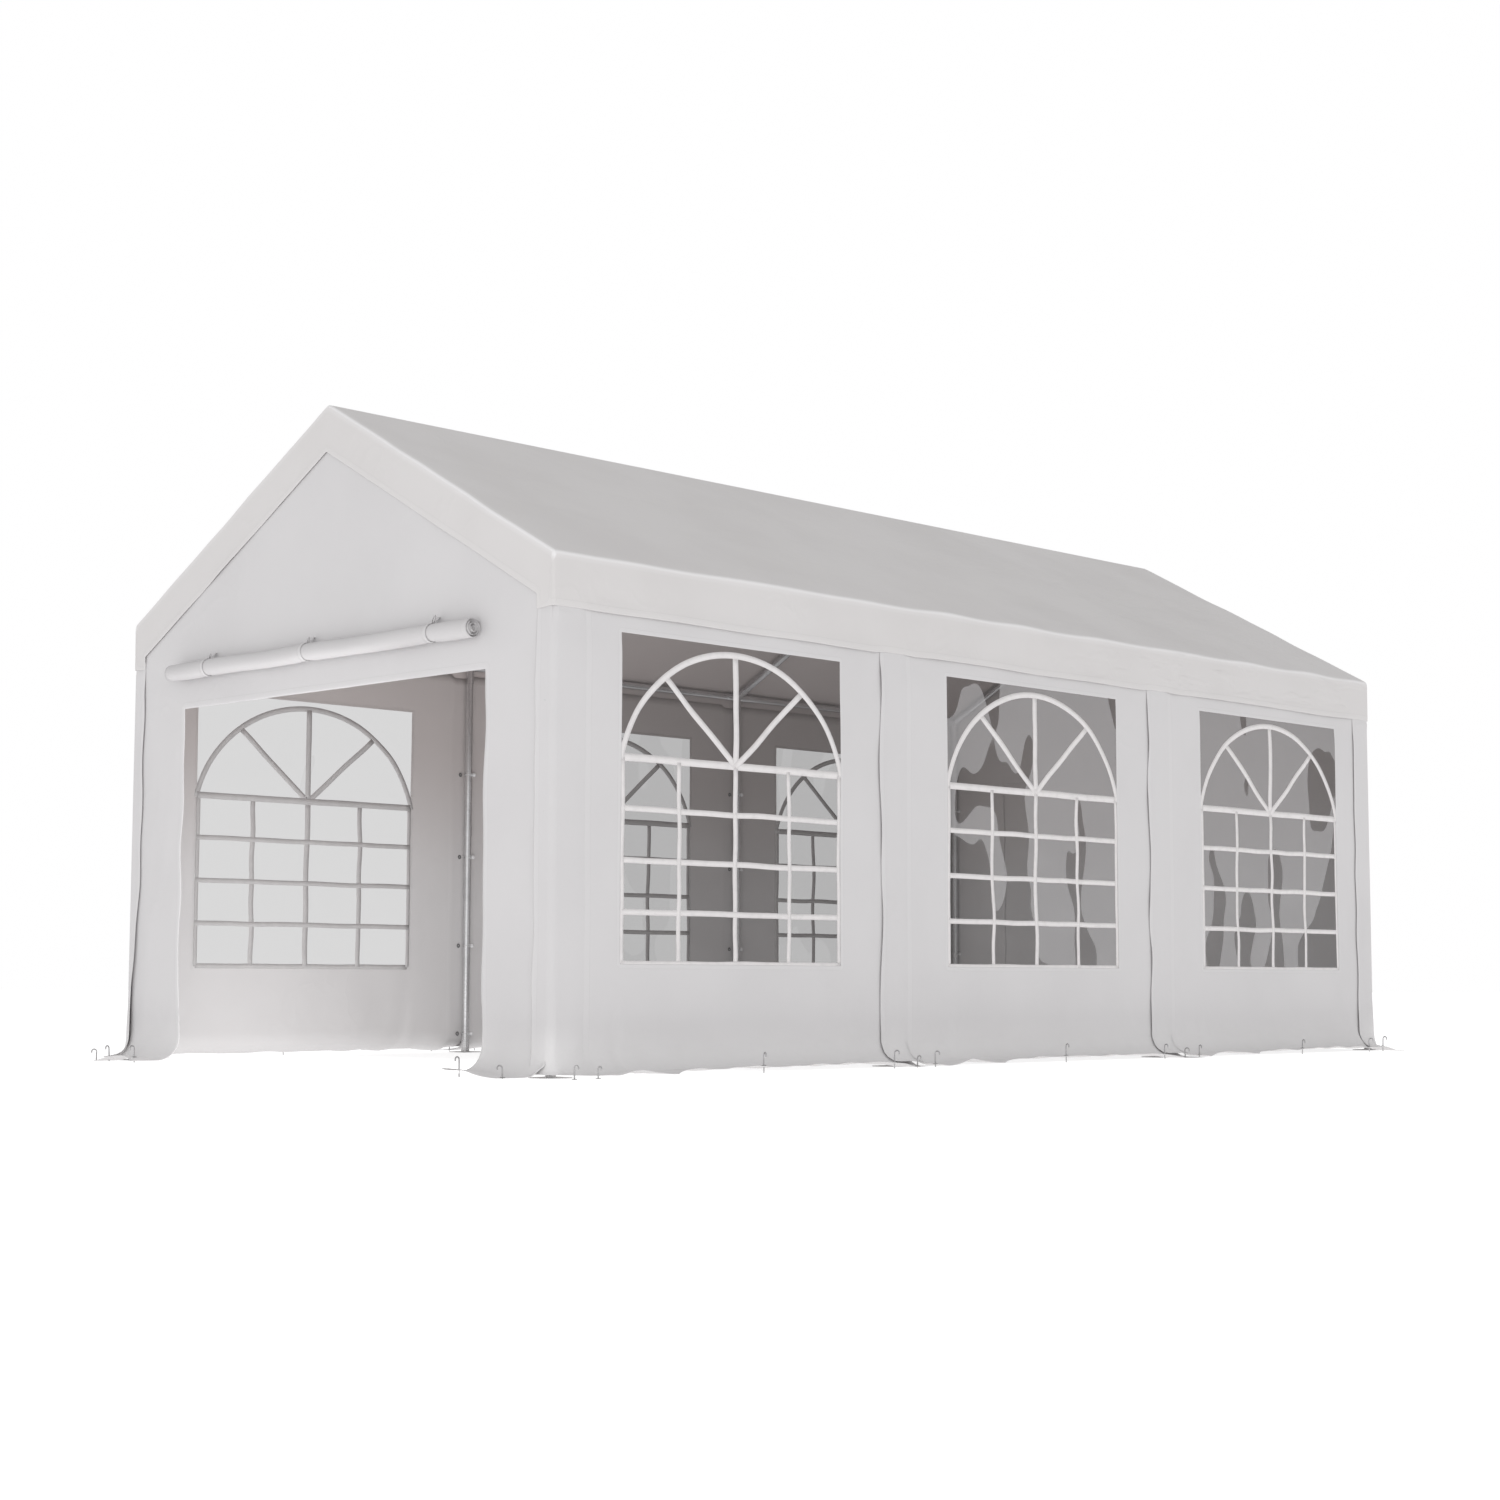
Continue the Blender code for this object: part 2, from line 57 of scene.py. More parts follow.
# %% Sizes of the cover, walls and windows
HALF_WIDTH = 1.50
HALF_LENGTH = 3.00
BAY = 2.00
EAVE_Z = 2.03
RIDGE_Z = 2.85
VALANCE_Z = 1.815
BAND_APEX_Z = 2.643
BAND_CORNER_X = 1.40
BAND_CORNER_Z = 1.875
BAND_WIDE = 0.19
LAYER = 0.0033
CLOTH = 0.0012
WALL_TOP_Z = 1.97
FLAP_BEFORE = 0.10
FLAP_AFTER = 0.08
CORNER_GABLE = 0.10
CORNER_SIDE = 0.17
CORNER_TOP_Z = 1.85
WINDOW_HALF = 0.642
WINDOW_LOW_Z = 0.437
WINDOW_HIGH_Z = 1.75
DOOR_LEFT = -1.06
DOOR_RIGHT = 1.09
DOOR_TOP_Z = 1.605
SKIRT_TOP_Z = 0.30
HEM = 0.028
SLOPE = (RIDGE_Z - EAVE_Z) / HALF_WIDTH
SLOPE_ANGLE = math.atan(SLOPE)
POLE_INSET = 0.0281
POLE_X = HALF_WIDTH - POLE_INSET
POLE_YS = (-HALF_LENGTH + POLE_INSET, -1.0, 1.0, HALF_LENGTH - POLE_INSET)
print(f"slope {math.degrees(SLOPE_ANGLE):.2f} degrees, poles at y", POLE_YS)

# %% [markdown]
# ## Helpers for surfaces
#
# A grid of numbers is the plainest way to say a curved sheet: one array for how far along the
# cloth a point is, one for how far down, and a formula that turns both into a place. numpy works
# out a whole sheet in one go, and the mesh takes the arrays without a loop over its points.

# %% Arrays into a mesh
def make_piece(name, points, faces, materials, uv=None, hem=None, smooth=True, rim=None):
    """A mesh object from arrays: points (n, 3), a list of face arrays (m, 3 or 4), and for each
    point its UV, its distance to the hem and its share of the painted rim highlight. Points that
    no face uses are dropped first."""
    points = np.asarray(points, float).reshape(-1, 3)
    faces = [np.asarray(f, int) for f in faces if len(f)]
    used = np.unique(np.concatenate([f.ravel() for f in faces]))
    renumber = np.zeros(len(points), int)
    renumber[used] = np.arange(len(used))
    corner = np.concatenate([renumber[f].ravel() for f in faces])
    sizes = np.concatenate([np.full(len(f), f.shape[1]) for f in faces])
    starts = np.concatenate([[0], np.cumsum(sizes)[:-1]])
    mesh = bpy.data.meshes.new(name)
    mesh.vertices.add(len(used))
    mesh.vertices.foreach_set("co", points[used].astype(np.float32).ravel())
    mesh.loops.add(len(corner))
    mesh.loops.foreach_set("vertex_index", corner.astype(np.int32))
    mesh.polygons.add(len(sizes))
    mesh.polygons.foreach_set("loop_start", starts.astype(np.int32))
    mesh.update(calc_edges=True)
    mesh.polygons.foreach_set("use_smooth", np.full(len(sizes), smooth))
    if uv is not None:
        layer = mesh.uv_layers.new(name="cloth_metres")
        layer.data.foreach_set("uv", np.asarray(uv,
                                                np.float32).reshape(-1, 2)[used][corner].ravel())
    for label, values in (("hem", hem), ("rim", rim)):
        if values is not None:
            attribute = mesh.attributes.new(label, "FLOAT", "POINT")
            attribute.data.foreach_set("value", np.asarray(values, np.float32).ravel()[used])
    for material in materials:
        mesh.materials.append(material)
    piece = bpy.data.objects.new(name, mesh)
    bpy.context.scene.collection.objects.link(piece)
    return piece


def grid_faces(rows, columns, keep=None, wrap=False):
    """Four-cornered faces of a grid whose point (i, j) has number i * columns + j. keep is a mask
    of the cells that stay, and wrap joins the last column to the first."""
    i, j = np.meshgrid(np.arange(rows - 1), np.arange(columns if wrap else columns - 1),
                       indexing="ij")
    k = (j + 1) % columns
    faces = np.stack([i * columns + j, (i + 1) * columns + j, (i + 1) * columns + k,
                      i * columns + k], -1)
    if keep is not None:
        return faces[keep]
    return faces.reshape(-1, 4)


def spaced(stops, step):
    """Positions from the first stop to the last, about a step apart, that meet every stop."""
    parts = [np.linspace(a, b, max(2, int(math.ceil(abs(b - a) / step)) + 1))[:-1]
             for a, b in zip(stops, stops[1:])]
    return np.concatenate(parts + [[stops[-1]]])


def join_parts(parts):
    """One set of points and a list of face arrays from several shapes (points, face arrays)."""
    points, faces, count = [], [], 0
    for part_points, part_faces in parts:
        points.append(np.asarray(part_points).reshape(-1, 3))
        faces += [np.asarray(f) + count for f in part_faces]
        count += len(points[-1])
    return np.concatenate(points), faces


def smoothstep(low, high, value):
    """0 below low, 1 above high, and an even S between them. low may be the larger one."""
    share = np.clip((value - low) / (high - low), 0.0, 1.0)
    return share * share * (3.0 - 2.0 * share)


# %% [markdown]
# ## Wrinkles as sums of waves
#
# Tarpaulin never hangs flat. Simulating 50 square metres of it would take minutes and give
# creases wherever the solver likes. A sum of a few sine waves with drawn lengths, headings and
# phases costs nothing, is the same on every run, and can be faded out where the cloth is held.
# Single creases are soft ridges along short lines, for the places where cloth is pulled.

# %% Wave fields and creases
def waves(a, b, seed, longest, shortest, lean=0.0, spread=math.pi, count=9):
    """Sum of sine waves over the plane (a, b), with lengths between shortest and longest and
    headings within spread of lean, divided by the root of their number: about -1 to 1."""
    draw = np.random.default_rng(seed)
    length = shortest * (longest / shortest) ** draw.random(count)
    turn = lean + spread * (draw.random(count) - 0.5)
    phase = draw.random(count) * 2.0 * math.pi
    total = 0.0
    for k in range(count):
        along = a * math.cos(turn[k]) + b * math.sin(turn[k])
        total = total + np.sin(2.0 * math.pi * along / length[k] + phase[k])
    return total / math.sqrt(count)


def lift(field):
    """A wave field squeezed between 0 and 1, so that it only pushes cloth outwards."""
    return 0.5 + 0.5 * np.tanh(field)


def creases(a, b, lines, width):
    """Ridges along short lines (a0, b0, a1, b1, height): each is its height times a bell of the
    distance to the line, thinning out towards the line's second end."""
    total = np.zeros(np.broadcast(a, b).shape)
    for a0, b0, a1, b1, height in lines:
        run = np.hypot(a1 - a0, b1 - b0)
        share = ((a - a0) * (a1 - a0) + (b - b0) * (b1 - b0)) / run ** 2
        held = np.clip(share, 0.0, 1.0)
        away = np.hypot(a - a0 - held * (a1 - a0), b - b0 - held * (b1 - b0))
        total = total + height * (1.0 - 0.8 * held) * np.exp(-((away / width) ** 2))
    return total


# %% [markdown]
# ## Camera, light and floor
#
# The picture is taken from near the ground, 13 m from the tent's middle, with a longish lens, so
# the walls hardly converge. The studio is white all round. The sky is a little dimmer overhead,
# because the roof is the darkest large face of a tent that stands in such a studio. One soft lamp
# lights the front, and a small one inside the doorway lights the far wall. The floor gives some
# light of its own, so that it stays white and only the shadow at the hems shows.

# %% Camera
LENS_MM = 60.09
CAMERA_AT = (8.7684, -9.3132, 0.3718)
YAW, PITCH, ROLL = math.radians(44.497), math.radians(5.269), math.radians(-0.118)

camera_data = bpy.data.cameras.new("camera")
camera_data.lens = LENS_MM
camera_data.sensor_width = 36.0
camera_data.clip_end = 200.0
camera = bpy.data.objects.new("camera", camera_data)
bpy.context.scene.collection.objects.link(camera)
camera.location = CAMERA_AT
camera.rotation_mode = "XYZ"
camera.rotation_euler = (math.pi / 2 + PITCH, 0.0, YAW)
camera.rotation_mode = "QUATERNION"
bpy.context.view_layer.update()
sight = camera.matrix_world.to_3x3() @ Vector((0.0, 0.0, -1.0))
rolled = Matrix.Rotation(ROLL, 3, sight) @ camera.matrix_world.to_3x3()
camera.rotation_quaternion = rolled.to_quaternion()
bpy.context.scene.camera = camera
bpy.context.scene.view_settings.view_transform = "Standard"
print("camera looks along", tuple(round(x, 4) for x in sight))


# %% Node helpers
def feed(tree, socket, value):
    """Link a socket to a value that is another socket, or set it to a value that is not."""
    if isinstance(value, bpy.types.NodeSocket):
        tree.links.new(value, socket)
    else:
        socket.default_value = value


def add(tree, kind, **settings):
    """A node in a tree. A setting that starts with in_ feeds the input of that name, with _ for
    each space, and any other is set on the node itself."""
    node = tree.nodes.new(kind)
    for key, value in settings.items():
        if key.startswith("in_"):
            feed(tree, node.inputs[key[3:].replace("_", " ")], value)
        else:
            setattr(node, key, value)
    return node


def calc(tree, operation, first, second=None, third=None, clamp=False):
    """The output of a Math node on sockets or numbers."""
    node = add(tree, "ShaderNodeMath", operation=operation, use_clamp=clamp)
    for socket, value in zip(node.inputs, (first, second, third)):
        if value is not None:
            feed(tree, socket, value)
    return node.outputs[0]


def step_between(tree, value, low, high, to_low=0.0, to_high=1.0):
    """The output of a smooth Map Range: to_low at low, to_high at high."""
    node = add(tree, "ShaderNodeMapRange", interpolation_type="SMOOTHSTEP", in_Value=value,
               in_From_Min=low, in_From_Max=high, in_To_Min=to_low, in_To_Max=to_high)
    return node.outputs["Result"]


def blend_colour(tree, share, first, second):
    """The output of a Mix node on colours."""
    node = add(tree, "ShaderNodeMix", data_type="RGBA")
    for number, value in ((0, share), (6, first), (7, second)):
        feed(tree, node.inputs[number], value)
    return node.outputs[2]


def noise(tree, vector, scale, detail=2.0, distortion=0.0):
    """The value of a Noise Texture at a vector."""
    return add(tree, "ShaderNodeTexNoise", in_Vector=vector, in_Scale=scale, in_Detail=detail,
               in_Distortion=distortion).outputs["Fac"]


def axis(tree, vector, name):
    """One axis of a vector."""
    return add(tree, "ShaderNodeSeparateXYZ", in_Vector=vector).outputs[name]


def attribute(tree, name):
    """The value of a mesh attribute."""
    return add(tree, "ShaderNodeAttribute", attribute_name=name).outputs["Fac"]


def emboss(tree, shader, height, distance, strength):
    """Give a shader the bump of a height."""
    bump = add(tree, "ShaderNodeBump", in_Height=height, in_Distance=distance, in_Strength=strength)
    tree.links.new(bump.outputs["Normal"], shader.inputs["Normal"])


# %% World and lamps
STUDIO_WHITE = (1.0, 0.998, 1.0, 1.0)
SKY_LOW, SKY_HIGH = 0.815, 0.68
FRONT_LAMP = ((6.0, -9.5, 2.6), (0.5, -2.0, 0.8), 3.5, 74.0)
DOORWAY_LAMP = ((0.85, -2.86, 0.50), (-1.5, -1.65, 0.30), 0.9, 23.0)

world = bpy.data.worlds.new("white_studio")
world.use_nodes = True
bpy.context.scene.world = world
sky = world.node_tree
sky.nodes.clear()
direction = add(sky, "ShaderNodeTexCoord").outputs["Generated"]
level = step_between(sky, axis(sky, direction, "Z"), 0.0, 0.9, SKY_LOW, SKY_HIGH)
seen = add(sky, "ShaderNodeLightPath").outputs["Is Camera Ray"]
strength = calc(sky, "MAXIMUM", level, seen)
background = add(sky, "ShaderNodeBackground", in_Strength=strength, in_Color=STUDIO_WHITE)
add(sky, "ShaderNodeOutputWorld", in_Surface=background.outputs[0])


def softbox(name, at, to, size, power):
    """A square area lamp at a place, aimed at another, that no shiny surface mirrors."""
    data = bpy.data.lights.new(name, "AREA")
    data.shape = "SQUARE"
    data.size = size
    data.energy = power
    lamp = bpy.data.objects.new(name, data)
    bpy.context.scene.collection.objects.link(lamp)
    lamp.location = at
    lamp.rotation_euler = (Vector(to) - Vector(at)).to_track_quat("-Z", "Y").to_euler()
    lamp.visible_glossy = False
    lamp.visible_camera = False
    return lamp


softbox("front_softbox", *FRONT_LAMP)
softbox("doorway_softbox", *DOORWAY_LAMP)

# %% Floor
FLOOR_GLOW = 0.93
FLOOR_GLOW_FRONT = 1.00
FLOOR_GLOW_DEEP = 0.32
FLOOR_GLOW_SEEN = 0.80
FLOOR_HALF = 70.0

floor_material = bpy.data.materials.new("studio_floor")
floor_material.use_nodes = True
floor_tree = floor_material.node_tree
floor_shader = floor_tree.nodes["Principled BSDF"]
floor_shader.inputs["Base Color"].default_value = (0.34, 0.34, 0.34, 1.0)
floor_shader.inputs["Roughness"].default_value = 0.9
floor_shader.inputs["Specular IOR Level"].default_value = 0.0
floor_shader.inputs["Emission Color"].default_value = STUDIO_WHITE
floor_place = add(floor_tree, "ShaderNodeSeparateXYZ",
                  in_Vector=add(floor_tree, "ShaderNodeTexCoord").outputs["Object"])
floor_x = calc(floor_tree, "ABSOLUTE", floor_place.outputs["X"])
under_x = step_between(floor_tree, floor_x, 1.60, 1.40)
under_y = step_between(floor_tree, calc(floor_tree, "ABSOLUTE", floor_place.outputs["Y"]), 3.1, 2.9)
under = calc(floor_tree, "MULTIPLY", under_x, under_y)
inner_glow = step_between(floor_tree, floor_place.outputs["Y"], -2.5, -0.3,
                          FLOOR_GLOW_FRONT - FLOOR_GLOW, FLOOR_GLOW_DEEP - FLOOR_GLOW)
glow = calc(floor_tree, "MULTIPLY_ADD", under, inner_glow, FLOOR_GLOW)
floor_seen = add(floor_tree, "ShaderNodeLightPath").outputs["Is Camera Ray"]
for_camera = calc(floor_tree, "MULTIPLY", floor_seen, FLOOR_GLOW_SEEN)
floor_tree.links.new(calc(floor_tree, "MAXIMUM", glow, for_camera),
                     floor_shader.inputs["Emission Strength"])
floor_points = np.array([(-1, -1, 0), (1, -1, 0), (1, 1, 0), (-1, 1, 0)], float) * FLOOR_HALF
floor = make_piece("studio_floor", floor_points, [[(0, 1, 2, 3)]], [floor_material], smooth=False)
print("floor is", 2 * FLOOR_HALF, "m wide")

# %% [markdown]
# ## Effects that several finishes share
#
# Each effect is a shader node group with named inputs, built once. The weave is the product of
# two sine waves along the cloth's own UV, which is in metres, so its threads keep one size. Small
# creases are folded noise: noise with its middle bent up to a ridge. Dust is a mask that fades
# out above the ground.

# %% Shader groups
def new_group(name, inputs, outputs):
    """An empty shader group with its sockets: returns the group, its input node and output node."""
    group = bpy.data.node_groups.new(name, "ShaderNodeTree")
    for label, kind, value in inputs:
        socket = group.interface.new_socket(name=label, in_out="INPUT", socket_type=kind)
        if value is not None:
            socket.default_value = value
    for label, kind in outputs:
        group.interface.new_socket(name=label, in_out="OUTPUT", socket_type=kind)
    return group, group.nodes.new("NodeGroupInput"), group.nodes.new("NodeGroupOutput")


def group_weave():
    """Height of a plain weave: half plus half the product of two sines across the UV."""
    group, given, result = new_group(
        "cloth_weave", [("UV", "NodeSocketVector", None), ("Threads per metre", "NodeSocketFloat",
                                                           400.0)],
        [("Height", "NodeSocketFloat")])
    parts = add(group, "ShaderNodeSeparateXYZ", in_Vector=given.outputs["UV"])
    turn = calc(group, "MULTIPLY", given.outputs["Threads per metre"], math.pi)
    across = calc(group, "SINE", calc(group, "MULTIPLY", parts.outputs["X"], turn))
    down = calc(group, "SINE", calc(group, "MULTIPLY", parts.outputs["Y"], turn))
    both = calc(group, "MULTIPLY", across, down)
    group.links.new(calc(group, "MULTIPLY_ADD", both, 0.5, 0.5), result.inputs["Height"])
    return group


def group_creases():
    """Height of small creases: noise folded at its middle into ridges, thinned by wider noise."""
    group, given, result = new_group(
        "small_creases", [("Vector", "NodeSocketVector", None), ("Scale", "NodeSocketFloat", 5.0)],
        [("Height", "NodeSocketFloat")])
    fine = noise(group, given.outputs["Vector"], given.outputs["Scale"], 2.5, 0.6)
    wide_scale = calc(group, "MULTIPLY", given.outputs["Scale"], 0.37)
    wide = noise(group, given.outputs["Vector"], wide_scale, 1.0)
    centred = calc(group, "ABSOLUTE", calc(group, "SUBTRACT", fine, 0.5))
    ridge = calc(group, "POWER", calc(group, "SUBTRACT", 1.0, calc(group, "MULTIPLY", centred, 3.2),
                                      clamp=True), 3.0)
    patch = step_between(group, wide, 0.42, 0.66)
    group.links.new(calc(group, "MULTIPLY", ridge, patch), result.inputs["Height"])
    return group


def group_dust():
    """Mask of dust thrown up from the ground: full at the ground and gone at a given height,
    broken up by noise."""
    group, given, result = new_group(
        "ground_dust", [("Vector", "NodeSocketVector", None), ("Height", "NodeSocketFloat", 0.25)],
        [("Mask", "NodeSocketFloat")])
    z = axis(group, given.outputs["Vector"], "Z")
    share = calc(group, "SUBTRACT", 1.0, calc(group, "DIVIDE", z, given.outputs["Height"]),
                 clamp=True)
    spots = noise(group, given.outputs["Vector"], 9.0, 4.0)
    broken = step_between(group, spots, 0.3, 0.75, 0.35, 1.0)
    group.links.new(calc(group, "MULTIPLY", calc(group, "POWER", share, 1.6), broken),
                    result.inputs["Mask"])
    return group


WEAVE = group_weave()
CREASES = group_creases()
DUST = group_dust()


def use_group(tree, group, **inputs):
    """A node that uses a group, with its inputs fed."""
    settings = {f"in_{label}": value for label, value in inputs.items()}
    return add(tree, "ShaderNodeGroup", node_tree=group, **settings)


print("shader groups:", [g.name for g in bpy.data.node_groups])

# %% [markdown]
# ## Tarpaulin
#
# The cover is woven tape between two films, white and a little shiny. Up close one sees the
# weave, small creases from being packed, a welded band along every edge, with a row of stitches,
# and some dust near the ground. The mesh carries each point's distance to the nearest edge in
# the attribute hem, so the band and its stitches follow the cut of the cloth and need no mesh.

# %% Tarpaulin material
OUTSIDE = ((0.650, 0.638, 0.644, 1.0), (0.606, 0.594, 0.600, 1.0), (0.690, 0.679, 0.684, 1.0))
ROOF_SIDE = ((0.672, 0.655, 0.652, 1.0), (0.630, 0.612, 0.608, 1.0), (0.700, 0.685, 0.683, 1.0))
# Painted shade: the inner side of the cloth is a darker copy of the outer tones.
INSIDE_PAINTED_SHADE = ((0.600, 0.588, 0.590, 1.0), (0.560, 0.548, 0.550, 1.0), (0.630, 0.618, 0.620, 1.0))
# Painted shade: the inner roof is a darker, warmer copy of the cloth.
ROOF_INSIDE_PAINTED_SHADE = ((0.540, 0.488, 0.478, 1.0), (0.505, 0.455, 0.446, 1.0), (0.565, 0.515, 0.505, 1.0))
# Painted shade: the roll is a darker copy of the wall cloth.
ROLL_PAINTED_SHADE = ((0.602, 0.589, 0.594, 1.0), (0.572, 0.560, 0.565, 1.0), (0.640, 0.628, 0.632, 1.0))
# Painted highlight: the light colour of the rims.
RIM_PAINTED_HIGHLIGHT = (0.83, 0.82, 0.825, 1.0)
# Painted light: the brighter colour of the foot.
SKIRT_PAINTED_LIGHT = (0.770, 0.760, 0.763, 1.0)
# Painted shade: the warm, darker colour of the inner top.
WARM_PAINTED_SHADE = (0.475, 0.435, 0.425, 1.0)
DUST_COLOUR = (0.47, 0.44, 0.41, 1.0)
LINE_COLOUR = (0.50, 0.49, 0.49, 1.0)
WEAVE_DEPTH = 0.00006
BAND_DEPTH = 0.0003
STITCH_TURNS = 700.0
STITCH_IN = 0.006


def principled(name):
    """A new material's node tree and its Principled shader."""
    material = bpy.data.materials.new(name)
    material.use_nodes = True
    return material, material.node_tree, material.node_tree.nodes["Principled BSDF"]


def make_tarpaulin(name, colours, crease_scale, crease_depth, shine=0.42, streaks=0.0, skirt=0.85,
                   warm_top=0.0):
    """White tarpaulin: colour from slow noise, band and stitches from hem, bump from both groups.
    colours: of the cloth, of its darker patches and of the welded band. streaks: height of fine
    wrinkles along the tent, which only the far half of the roof has. skirt: share of the brighter
    colour, painted light, that the foot has. warm_top: share of the warm colour, painted shade,
    that the top has. The rim attribute adds a painted highlight."""
    material, tree, shader = principled(name)
    place = add(tree, "ShaderNodeTexCoord")
    at = place.outputs["Object"]
    hem = attribute(tree, "hem")
    slow = noise(tree, at, 1.7, 4.0)
    shade = step_between(tree, slow, 0.38, 0.72, 0.0, 0.45)
    cloth = blend_colour(tree, shade, colours[0], colours[1])
    band = step_between(tree, hem, HEM, HEM - 0.002)
    banded = blend_colour(tree, calc(tree, "MULTIPLY", band, 0.35), cloth, colours[2])
    line_away = calc(tree, "ABSOLUTE", calc(tree, "SUBTRACT", hem, HEM))
    line = step_between(tree, line_away, 0.0022, 0.0006)
    uv = add(tree, "ShaderNodeSeparateXYZ", in_Vector=place.outputs["UV"])
    thread_run = calc(tree, "ADD", uv.outputs["X"], uv.outputs["Y"])
    dash_at = calc(tree, "SINE", calc(tree, "MULTIPLY", thread_run, STITCH_TURNS))
    stitch_away = calc(tree, "ABSOLUTE", calc(tree, "SUBTRACT", hem, HEM - STITCH_IN))
    stitch = calc(tree, "MULTIPLY", step_between(tree, stitch_away, 0.0014, 0.0005),
                  step_between(tree, dash_at, -0.4, 0.1))
    colour = blend_colour(tree, calc(tree, "MULTIPLY", line, 0.14), banded, LINE_COLOUR)
    # Painted highlight: the rim attribute lightens the eave fold and the folded rims of the gable
    # bands.
    colour = blend_colour(tree, attribute(tree, "rim"), colour, RIM_PAINTED_HIGHLIGHT)
    # Painted light: the foot is blended towards a brighter colour; the same mask roughens it below.
    foot = step_between(tree, axis(tree, at, "Z"), 0.22, 0.06, 0.0, skirt)
    colour = blend_colour(tree, foot, colour, SKIRT_PAINTED_LIGHT)
    # Painted shade: the top of the inner cloth is blended towards a warm, darker colour.
    if warm_top:
        head = step_between(tree, axis(tree, at, "Z"), 0.75, 1.65, 0.0, warm_top)
        colour = blend_colour(tree, head, colour, WARM_PAINTED_SHADE)
    dust = use_group(tree, DUST, Vector=at, Height=0.28).outputs["Mask"]
    colour = blend_colour(tree, calc(tree, "MULTIPLY", dust, 0.07), colour, DUST_COLOUR)
    tree.links.new(colour, shader.inputs["Base Color"])
    rough = step_between(tree, slow, 0.3, 0.7, 0.46, 0.58)
    dull = calc(tree, "MULTIPLY_ADD", foot, 0.42, rough)
    duller = calc(tree, "MULTIPLY_ADD", dust, 0.1, dull, clamp=True)
    tree.links.new(duller, shader.inputs["Roughness"])
    shader.inputs["Specular IOR Level"].default_value = shine
    weave = use_group(tree, WEAVE, UV=place.outputs["UV"],
                      Threads_per_metre=360.0).outputs["Height"]
    crease = use_group(tree, CREASES, Vector=at, Scale=crease_scale).outputs["Height"]
    height = calc(tree, "MULTIPLY", crease, crease_depth)
    for part, depth in ((weave, WEAVE_DEPTH), (band, BAND_DEPTH), (stitch, -BAND_DEPTH)):
        height = calc(tree, "MULTIPLY_ADD", part, depth, height)
    if streaks:
        drawn_out = add(tree, "ShaderNodeMapping", in_Vector=at, in_Scale=(9.0, 2.2, 9.0))
        thin = noise(tree, drawn_out.outputs["Vector"], 1.6, 2.0)
        thin_ridge = step_between(tree, thin, 0.54, 0.66)
        back_half = step_between(tree, axis(tree, at, "Y"), -0.2, 0.9)
        both = calc(tree, "MULTIPLY", thin_ridge, back_half)
        height = calc(tree, "MULTIPLY_ADD", both, streaks, height)
    emboss(tree, shader, height, 1.0, 1.0)
    return material


WALL_CLOTH = make_tarpaulin("wall_tarpaulin", OUTSIDE, 4.2, 0.0011)
ROOF_CLOTH = make_tarpaulin("roof_tarpaulin", ROOF_SIDE, 5.5, 0.0016, 0.16, 0.0016)
# The roll's darker tones are painted shade.
ROLL_CLOTH_PAINTED_SHADE = make_tarpaulin("rolled_tarpaulin", ROLL_PAINTED_SHADE, 11.0, 0.0008, 0.25)
# The inner cloth's darker tones and warm top are painted shade.
INNER_CLOTH_PAINTED_SHADE = make_tarpaulin("inner_tarpaulin", INSIDE_PAINTED_SHADE, 4.2, 0.0011, skirt=0.0, warm_top=0.8)
# The inner roof's darker, warmer tones are painted shade.
ROOF_INNER_PAINTED_SHADE = make_tarpaulin("roof_inner_tarpaulin", ROOF_INSIDE_PAINTED_SHADE, 4.2, 0.0011)
print("tarpaulins:", WALL_CLOTH.name, ROOF_CLOTH.name, ROLL_CLOTH_PAINTED_SHADE.name, INNER_CLOTH_PAINTED_SHADE.name,
      ROOF_INNER_PAINTED_SHADE.name)

# %% [markdown]
# ## Clear vinyl and its printed bars
#
# Soft clear vinyl is never quite clear. It is a little grey and it ripples. Real glass
# refraction would block the light that comes in through a window, so the sheet is a thin
# surface with Alpha instead. Where light would catch it, in patches with hard borders, the
# reflection is painted: the patches are lighter in colour and higher in Alpha. They are warped
# noise cut at a level that falls along the tent, so the far windows, met at a flatter angle,
# show more painted reflection. The bars are printed white; their grey inner face is painted shade.

